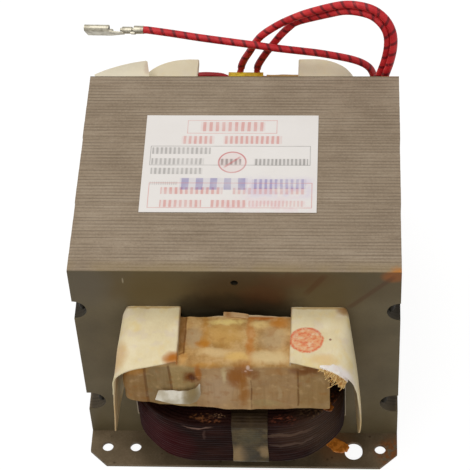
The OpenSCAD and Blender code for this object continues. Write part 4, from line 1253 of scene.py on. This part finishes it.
@dataclass
class Wraps:
    """Paper folded over the ends of the secondary winding, with its tapes."""

    thick: float = 0.35
    side: float = 33.52
    reach: float = 63.6
    bend: float = 2.0
    front_inner: float = 45.3
    tab_y: float = 67.08
    torn_z: float = 45.81
    torn: tuple[Spot, ...] = (
        (-34.0, 4.3), (-31.0, 3.5), (-26.3, 1.9), (-18.0, 0.7), (-12.0, 0.3), (-5.7, -0.3),
        (3.9, -1.3), (13.4, -0.5), (21.4, -0.1), (30.0, -0.2))
    front_rim: tuple[Spot, ...] = (
        (-17.0, 45.3), (-10.0, 45.2), (-5.0, 44.7), (2.4, 44.3), (5.6, 44.2), (10.4, 44.7),
        (17.0, 45.0))
    tail_lower: tuple[tuple[float, ...], ...] = (
        (0.0, -25.4, -66.9, 53.9), (0.3, -20.5, -67.0, 52.2), (0.52, -17.2, -66.7, 51.5),
        (0.68, -14.9, -66.2, 50.6), (0.86, -12.3, -65.4, 51.2), (1.0, -10.9, -64.9, 54.4))
    tail_upper: tuple[tuple[float, ...], ...] = (
        (0.0, -24.3, -64.7, 56.1), (0.3, -20.6, -64.6, 55.9), (0.52, -17.6, -64.5, 55.5),
        (0.68, -15.0, -64.7, 56.0), (0.86, -12.4, -64.9, 57.4), (1.0, -10.8, -65.2, 60.6))

    def outline(self, way: int, radius: float, inner: float, open_x: float) -> list[Vector]:
        """Points of the fold seen from above, about half a millimetre apart.

        Args:
            way: -1 in front, where the fold starts on the left side, and 1 behind, where it ends on
                the right side.
            radius: Radius of the round corner.
            inner: Distance from the middle of the core at which the side part starts.
            open_x: Place of the straight part's open end.

        Returns:
            The points, from left to right.
        """
        side, reach, r = (size - self.thick / 2 for size in (self.side, self.reach, radius))
        low = math.asin(max(0.0, (inner - reach + r) / r))
        corner = [Vector((side - r + r * math.cos(a), reach - r + r * math.sin(a)))
                  for a in (low + (math.pi / 2 - low) * k / 24 for k in range(25))]
        straight = [Vector((side, inner))] if inner < reach - r else []
        corners = straight + corner + [Vector((way * open_x, reach))]
        points = []
        for a, b in zip(corners, corners[1:]):
            steps = max(1, round((b - a).length * 2))
            points += [a.lerp(b, k / steps) for k in range(steps)]
        points.append(corners[-1])
        return points[::-1] if way > 0 else [-p for p in points]

    def fold(self, name: str, node: str, way: int, radius: float, open_x: float) -> None:
        """Paper from its rim over the winding's top, round the fold and down its outer face.

        Args:
            name: The piece's name.
            node: The CAD node it stands for.
            way: -1 in front, where the lower edge is torn, and 1 behind.
            radius: Radius of the round corner.
            open_x: Place of the straight part's open end.
        """
        low, high = box_mm(node)
        top, bend = high.z - self.thick / 2, self.bend
        inner = self.front_inner if way < 0 else low.y
        path = self.outline(way, radius, inner, open_x)
        rows, top_rows, bend_rows, last = 44, 18, 6, len(path) - 1

        def shape(u: float, v: float) -> Sequence[float]:
            """A point along the outline and from the rim down."""
            k = min(last - 1, int(u * last))
            edge = path[k].lerp(path[k + 1], u * last - k)
            before, after = path[max(0, k - 1)], path[min(last, k + 2)]
            out = Vector((before.y - after.y, after.x - before.x)).normalized() * way
            row = round(v * rows)
            bump = 0.1 + 0.7 * abs(rough(edge.x, edge.y, row * 0.9, 6)) * blend_in(0, 0.2, v)
            bump += 0.1 * rough(edge.x, row * 1.1, 3, 1.8)
            if row <= top_rows:
                middle = path[last // 2].x
                rim_x = -self.side + (middle + self.side) * u * 2 if way < 0 and u < 0.5 else edge.x
                rim = Vector((rim_x, -at(self.front_rim, rim_x) if way < 0 else inner + 0.3))
                rim.y += 0.25 * rough(rim_x, 0, 11, 2.5)
                t = row / top_rows
                flat = rim.lerp(edge - out * bend, t)
                sag = 0.5 * math.sin(math.pi * t) * (0.4 + 0.7 * rough(flat.x, 0, 7, 9))
                return flat.x, flat.y, top + 0.2 + bump * 0.6 - sag * 0.5
            if row <= top_rows + bend_rows:
                a = (row - top_rows) / bend_rows * math.pi / 2
                spot = edge - out * bend + out * (bend + bump * 0.6) * math.sin(a)
                return spot.x, spot.y, top - bend + (bend + 0.2 + bump * 0.6) * math.cos(a)
            t = (row - top_rows - bend_rows) / (rows - top_rows - bend_rows)
            lower = low.z + self.thick / 2
            spot = edge + out * bump * (0.6 + 0.5 * t)
            if way < 0:
                lower = self.torn_z + at(self.torn, edge.x) + 0.35 * rough(edge.x, 2, edge.y, 1.6)
                lower += 0.5 * rough(edge.x, 9, 5, 5)
                spot.x -= 1.7 * blend_in(-27, -33.3, edge.x) * blend_in(0, 0.35, t)
            return spot.x, spot.y, top - bend + (lower - top + bend) * t

        hand_over(laid_sheet(name, 90, rows, shape, self.thick), WrapPaper(), node)

    def tail(self) -> None:
        """The front tape's free end, bent back on itself and curled."""

        def shape(u: float, v: float) -> Sequence[float]:
            """A point between the tail's lower and upper edges."""
            spot = Vector(read(self.tail_lower, v)).lerp(Vector(read(self.tail_upper, v)), u)
            spot.y -= 0.35 * math.sin(math.pi * u) + 0.25 * rough(u * 5, v * 16, 2, 2.4)
            spot.z += 0.3 * rough(v * 14, u * 3, 8, 2.6)
            return spot

        white = Tape(stains=ovals(
            (-13.4, 55.0, 2.6, 6.0, 150, 128, 84, 1.0),
            (-21.0, 52.0, 2.0, 1.2, 176, 158, 120, 0.5)))
        hand_over(laid_sheet("tape_tail", 8, 36, shape, 0.18), white, "loose_tape_end")

    def strip(self) -> None:
        """The strip that stands up a little at the front wrap's rim."""

        def shape(u: float, v: float) -> Sequence[float]:
            """A point across the strip and from back to front."""
            x = -3.9 + 8.0 * u
            z = 68.85 + 0.3 * math.sin(math.pi * u) + 0.3 * (1 - v) + 0.1 * rough(x, v * 4, 2, 2)
            return x, -43.3 - 0.9 * u - (1.9 - 0.5 * u) * v, z

        tan = Tape("tan_tape", "white_tape", light=(206, 168, 120), dark=(172, 124, 72))
        hand_over(laid_sheet("raised_strip", 12, 8, shape, 0.25), tan)

    def yellow(self) -> None:
        """The yellow tape over the heater winding and down behind it, under the leads."""
        low, high = box_mm("lead_tape")
        profile = (
            (0.0, low.y + 0.2, 68.5), (0.4, 60.6, 68.6), (0.5, 62.6, 68.85), (0.56, 63.7, 68.7),
            (0.6, 64.15, 68.2), (0.66, 64.2, 66.6), (1.0, 64.0, low.z))

        def shape(u: float, v: float) -> Sequence[float]:
            """A point across the tape and along its profile."""
            y, z = read(profile, v)
            x = low.x + (high.x - low.x) * u + 0.25 * rough(v * 9, u, 0, 2)
            return x, y + 0.08 * rough(u * 12, v * 20, 5, 4), z + 0.14 * rough(u * 12, v * 12, 0, 4)

        finish = Tape("yellow_tape", "yellow_tape", light=(238, 208, 62), dark=(206, 160, 40))
        hand_over(laid_sheet("lead_tape_strip", 12, 50, shape, 0.25), finish, "lead_tape")

    def tab_strip(self) -> None:
        """The tape across the feet of the primary tabs."""
        low, high = box_mm("tab_tape")

        def shape(u: float, v: float) -> Sequence[float]:
            """A point across the tape and up it, raised over both feet."""
            x = low.x + (high.x - low.x) * u
            over_tab = max(blend_in(4.6, 3.0, abs(x - foot)) for foot in (-11, 11))
            y = self.tab_y + 0.62 * over_tab + 0.12 * rough(x, v * 8, 0, 4)
            return x, y, low.z + (high.z - low.z) * v

        cream = Tape("cream_tape", "brown_tape", light=(204, 184, 140), dark=(160, 132, 86))
        hand_over(laid_sheet("tab_strip", 56, 10, shape, 0.25), cream, "tab_tape")

    def build(self) -> None:
        """Builds both wraps and all tapes."""
        self.fold("front_wrap", "secondary_wrap_front", way=-1, radius=1.9, open_x=30.0)
        self.fold("rear_wrap", "secondary_wrap_rear", way=1, radius=17.26, open_x=6.4)
        self.tail()
        self.strip()
        self.yellow()
        self.tab_strip()


class Side(Enum):
    """The two sides of the core."""

    LEFT = -1
    RIGHT = 1


@dataclass
class Liner:
    """One slot liner: a single sheet through the window that spreads at both free ends."""

    side: Side
    flare: float
    lean: float
    edge_lean: float
    inner: float = 17.565
    window: float = 34.925
    top: float = 71.06
    fold_z: float = 68.76
    front: float = 22.2
    front_y: float = -64.3
    rear: float = 25.8
    rear_shoulder: float = 15.0
    rear_flare: float = 0.0
    bulge: float = 0.0
    window_h: float = 52.4
    thick: float = 0.4
    columns: tuple[int, int, int, int] = (3, 12, 10, 20)
    tongue: tuple[Spot, ...] = (
        (0, 45.9), (2.5, 40.7), (7.4, 27.96), (10.5, 23.0), (13.0, 21.4), (15.0, 21.9))
    stains: tuple[Stain, ...] = ()

    def station(self, y: float) -> tuple[float, float, float]:
        """Spread, shoulder radius and bottom of the limb side at a place along the core."""
        reach, radii, rear_flare = self.front, (4.2, 6.55, 9.6), 0.0
        ends = [(17.5, 30.0), (20.5, 46.0), (reach, 54.5), (reach + 3, 56.0)]
        if y > 0:
            reach, rear_flare = self.rear, self.rear_flare
            radii = tuple(r * (self.rear_shoulder / 15) for r in (6.8, 11.1, 15.0))
            ends = [(18.5, 30.0), (22.0, 42.0), (reach, 49.6)]
        out = max(0.0, abs(y) - HALF_DEPTH)
        spread = self.flare * (0.3 * blend_in(0, 1.0, out) + 0.7 * out / reach)
        spread += rear_flare * out / reach
        radius = at([(0, 1.6), (2.5, 2.4), *zip((7.4, 14.4, reach), radii)], out)
        bottom = at([*self.tongue, *ends], out)
        return spread, radius, bottom

    def section(self, y: float, u: float) -> Spot:
        """A point of the section: up the leg side, over the top, round the shoulder and down."""
        spread, radius, bottom = self.station(y)
        out_x = self.window + spread - self.thick / 2
        in_x, top = self.inner + self.thick / 2, self.top - self.thick / 2
        radius -= self.thick / 2
        step = u * sum(self.columns)
        up, over, bend, down = self.columns
        if step <= up:
            return in_x, self.fold_z + (top - self.fold_z) * step / up
        step -= up
        if step <= over:
            return in_x + (out_x - radius - in_x) * step / over, top
        step -= over
        if step <= bend:
            a = step / bend * math.pi / 2
            return out_x - radius + radius * math.sin(a), top - radius + radius * math.cos(a)
        depth = (top - radius - bottom) * (step - bend) / down
        free = min(1.0, max(0.0, abs(y) - HALF_DEPTH) / 7.4)
        belly = self.bulge * min(1.0, free * 3) * math.sin(math.pi * min(1.0, depth / 42))
        return out_x + self.lean * free * depth / self.window_h + belly, top - radius - depth

    def shape(self, u: float, v: float) -> Sequence[float]:
        """A point of the sheet in mm. Its front edge leans forward towards the shoulder."""
        front = self.front_y - self.edge_lean * blend_in(0.05, 0.5, u)
        front += 0.8 * blend_in(0.55, 0.9, u)
        back = HALF_DEPTH + self.rear - 0.3
        y = front + (back - front) * v
        x, z = self.section(y, u)
        free = blend_in(0, 18, abs(y) - HALF_DEPTH)
        wave = 0.55 * rough(self.side.value * 40 + x, y, z, 13) + 0.12 * rough(x, y, z + 50, 4)
        x += free * wave * blend_in(0.25, 0.5, u)
        z += free * (wave * 0.7 - 0.25) * blend_in(0.55, 0.3, u)
        if y < 0:
            sag = 0.9 * blend_in(14, 24, -y - HALF_DEPTH) * blend_in(0.02, 0.2, u)
            z -= sag * blend_in(0.6, 0.4, u)
        return self.side.value * x, y, z

    def build(self) -> None:
        """Lays the sheet and lets it stand for the CAD node and its four panels."""
        word = self.side.name.lower()
        ends = ("top_front", "top_rear", "side_front", "side_rear")
        panels = [f"liner_{end}_{word}" for end in ends]
        paper = LinerPaper(f"liner_paper_{word}", stains=self.stains, mark=self.side is Side.RIGHT)
        piece = laid_sheet(f"liner_{word}", sum(self.columns), 96, self.shape, self.thick)
        hand_over(piece, paper, f"slot_liner_{word}", *panels)


@dataclass
class TornCorner:
    """The right liner's torn front corner: a white lip, a ragged amber layer under it, and loose
    fibres that hang from both."""

    route: tuple[Point, ...] = (
        (27.0, -66.0, 70.9), (28.6, -66.5, 70.8), (30.6, -66.9, 70.1), (32.8, -67.2, 68.7),
        (34.6, -67.2, 66.6), (35.6, -66.9, 64.6))
    depths: tuple[Spot, ...] = (
        (0.0, 0.5), (0.2, 1.8), (0.4, 2.9), (0.6, 3.2), (0.8, 2.2), (1.0, 0.4))
    falls: tuple[Spot, ...] = (
        (0.0, 1.0), (0.2, 2.4), (0.4, 3.6), (0.6, 3.4), (0.8, 4.2), (1.0, 3.0))
    count: int = 26

    def strand(self, i: int, edge: Sequence[Vector]) -> bpy.types.Object:
        """One loose fibre, whose place and bends follow from its number."""
        v = 0.06 + 0.88 * i / (self.count - 1)
        spot = edge[round(v * (len(edge) - 1))] + Vector((0.0, -0.35, 0.1))
        aside, back = rough(i * 3.1, 0, 0, 1.7), rough(0, i * 2.3, 0, 1.7)
        drift = Vector((1.1 * aside - 0.45, 0.3 * back - 0.15, -0.85))
        fall = at(self.falls, v) * (0.9 + 0.6 * abs(rough(i * 1.9, 5, 2, 1.3)))
        path = [spot + drift * fall * t + Vector((0.5 * rough(i, t * 4, 1, 1.1), 0, 0)) * t
                for t in (0, 0.3, 0.6, 0.85, 1)]
        radius = 0.1 + 0.08 * abs(rough(i * 2.7, 1, 4, 1.5))
        return tube(f"strand_{i}", path, radius, sides=6)

    def build(self) -> None:
        """Lays the lip along the liner's edge, and hangs the layer and the fibres under it."""
        edge = along(self.route, gap=0.5)
        last = len(edge) - 1

        def lip(u: float, v: float) -> Sequence[float]:
            """A point of the lip, back from the edge and along it."""
            spot = edge[round(v * last)]
            depth = at(self.depths, v) * (1 + 0.3 * rough(v * 14, 3, 1, 1.3))
            lift = 0.35 + 0.25 * rough(v * 12, u * 4, 5, 1.5) - 0.5 * blend_in(0.25, 0.0, u)
            return spot.x + 0.25 * lift, spot.y - 0.3 + depth * u, spot.z + lift

        def layer(u: float, v: float) -> Sequence[float]:
            """A point of the layer, down from the edge and along it."""
            spot = edge[round(v * last)]
            fall = at(self.falls, v) * (1 + 0.55 * rough(v * 22, 1, 7, 1.1)) * u
            y = spot.y + 0.1 - 0.12 * fall + 0.25 * rough(v * 18, u * 4, 2, 1.2)
            return spot.x - 0.35 * fall, y, spot.z - 0.75 * fall

        white = Tape("torn_paper", "liner_paper", light=(255, 250, 244), dark=(246, 232, 222))
        amber = Tape("amber_fibres", "liner_paper", light=(255, 226, 158), dark=(206, 148, 70),
                     grain=0.7)
        hand_over(laid_sheet("torn_lip", 8, 40, lip, 0.25), white)
        hand_over(laid_sheet("torn_layer", 6, 60, layer, 0.15), amber)
        strands = [self.strand(i, edge) for i in range(self.count)]
        only(strands[0])
        for strand in strands:
            strand.select_set(True)
        bpy.ops.object.join()
        strands[0].name = strands[0].data.name = "torn_fibres"
        hand_over(strands[0], amber)


@dataclass
class Flap:
    """The flap at the left liner's back end, folded outwards and lifted at its corner."""

    thick: float = 0.35
    corners: tuple[Point, ...] = (
        (-31.925, 43.2, 71.81), (-35.625, 66.0, 72.14), (-55.0, 64.6, 66.6), (-39.925, 43.2, 69.57))
    stains: tuple[Stain, ...] = ovals(
        (-54.0, 66.0, 19.0, 16.0, 244, 236, 216, 0.8), (-35.0, 62.5, 1.2, 2.5, 150, 70, 40, 0.8))

    def build(self) -> None:
        """Lays the flap between its corners, which are its CAD node's but for the lifted one."""
        root, tip, far_tip, far_root = (Vector(corner) for corner in self.corners)

        def shape(u: float, v: float) -> Sequence[float]:
            """A point across the flap and from its root to its tip."""
            spot = root.lerp(far_root, u).lerp(tip.lerp(far_tip, u), v)
            curl = math.sin(math.pi * u) * blend_in(0.0, 0.8, v)
            curl += 0.25 * rough(spot.x, spot.y, 0, 7)
            return spot.x, spot.y, spot.z + curl

        piece = laid_sheet("liner_flap_paper", 20, 24, shape, self.thick)
        hand_over(piece, LinerPaper("flap_paper", stains=self.stains), "liner_flap")


@dataclass
class Label:
    """The white label on top, very slightly buckled."""

    thick: float = 0.12

    def build(self) -> None:
        """Lays the label in the place of its CAD node."""
        low, high = box_mm("label")

        def shape(u: float, v: float) -> Sequence[float]:
            """A point across and along the label."""
            x, y = low.x + (high.x - low.x) * u, low.y + (high.y - low.y) * v
            return x, y, low.z + 0.1 + 0.05 * rough(x, y, 0, 9)

        piece = laid_sheet("label_sheet", 40, 30, shape, self.thick, level=0)
        hand_over(piece, LabelPaper(), "label")


@dataclass
class VarnishRuns:
    """Varnish that ran down and dried: on the plate beside the slot and at the coil's corner."""

    def puddle(self, name: str, finish: Finish, middle: Point, radii: Spot, turn: float,
               height: float) -> None:
        """A shallow drop with a ragged outline that lies on a level surface."""
        piece = primitive("uv_sphere", name, segments=40, ring_count=16, radius=1.0)
        spin = Matrix.Rotation(math.radians(turn), 3, "Z")
        for point in piece.data.vertices:
            x, y, z = point.co
            ragged = 1 + 0.22 * rough(x * 3, y * 3, middle[0], 1.4)
            flat = Vector((x * radii[0] * ragged, y * radii[1] * ragged, 0))
            lift = max(0.0, z) ** 0.7 * height if z > 0 else 0.02 * z
            point.co = (spin @ flat + Vector(middle) + Vector((0, 0, lift))) * MM
        smooth(piece, 60)
        hand_over(piece, finish)

    def build(self) -> None:
        """Builds the runs that the photograph shows."""
        amber, brown = Varnish(), Varnish("brown_varnish", light=(168, 98, 36), dark=(112, 58, 16))
        self.puddle("varnish_on_plate", amber, (31.4, -47.6, 1.25), (4.5, 2.6), -40, 0.5)
        self.puddle("varnish_at_slot", amber, (34.4, -48.6, 1.25), (1.6, 2.0), 20, 0.4)
        self.puddle("varnish_under_coil", brown, (28.6, -46.0, 1.25), (2.6, 1.6), -10, 0.4)
        self.puddle("varnish_on_coil", brown, (28.6, -58.6, 40.1), (3.0, 1.9), -40, 0.45)


class Part(Protocol):
    """A sub-assembly, as main sees it."""

    def build(self) -> None:
        """Builds its pieces."""


def main() -> None:
    """Builds the scene part by part. The camera and the cords come first."""
    logging.basicConfig(level=logging.INFO, format="%(name)s: %(message)s")
    studio = Studio()
    studio.camera()
    left = Liner(
        Side.LEFT, flare=3.2, lean=5.2, edge_lean=2.6, rear_shoulder=20.0, rear_flare=2.6,
        stains=ovals(
            (-19.2, -62.9, 2.4, 2.0, 184, 108, 18, 1.0),
            (-26.0, -42.9, 9.0, 0.5, 190, 152, 84, 0.7),
            (-37.0, -60.0, 3.0, 4.0, 206, 150, 76, 0.5)))
    right = Liner(
        Side.RIGHT, flare=3.0, lean=2.6, edge_lean=3.0, rear_shoulder=14.0, bulge=1.2,
        stains=ovals(
            (26.0, -42.9, 9.0, 0.5, 188, 148, 78, 0.7),
            (34.6, -43.6, 2.2, 1.8, 152, 100, 36, 0.8),
            (28.5, -62.6, 3.4, 1.6, 232, 196, 130, 0.7),
            (33.5, -66.4, 3.4, 2.0, 248, 238, 234, 0.95)))
    parts: list[tuple[str, Part]] = [
        ("leads", Leads()), ("studio", studio), ("core", Core()), ("windings", Windings()),
        ("primary tape", PrimaryTape()), ("wraps", Wraps()), ("left liner", left),
        ("right liner", right), ("torn corner", TornCorner()), ("flap", Flap()),
        ("label", Label()), ("varnish", VarnishRuns()),
    ]
    for name, part in parts:
        part.build()
        LOG.info("%s built", name)


if __name__ == "__main__":
    main()
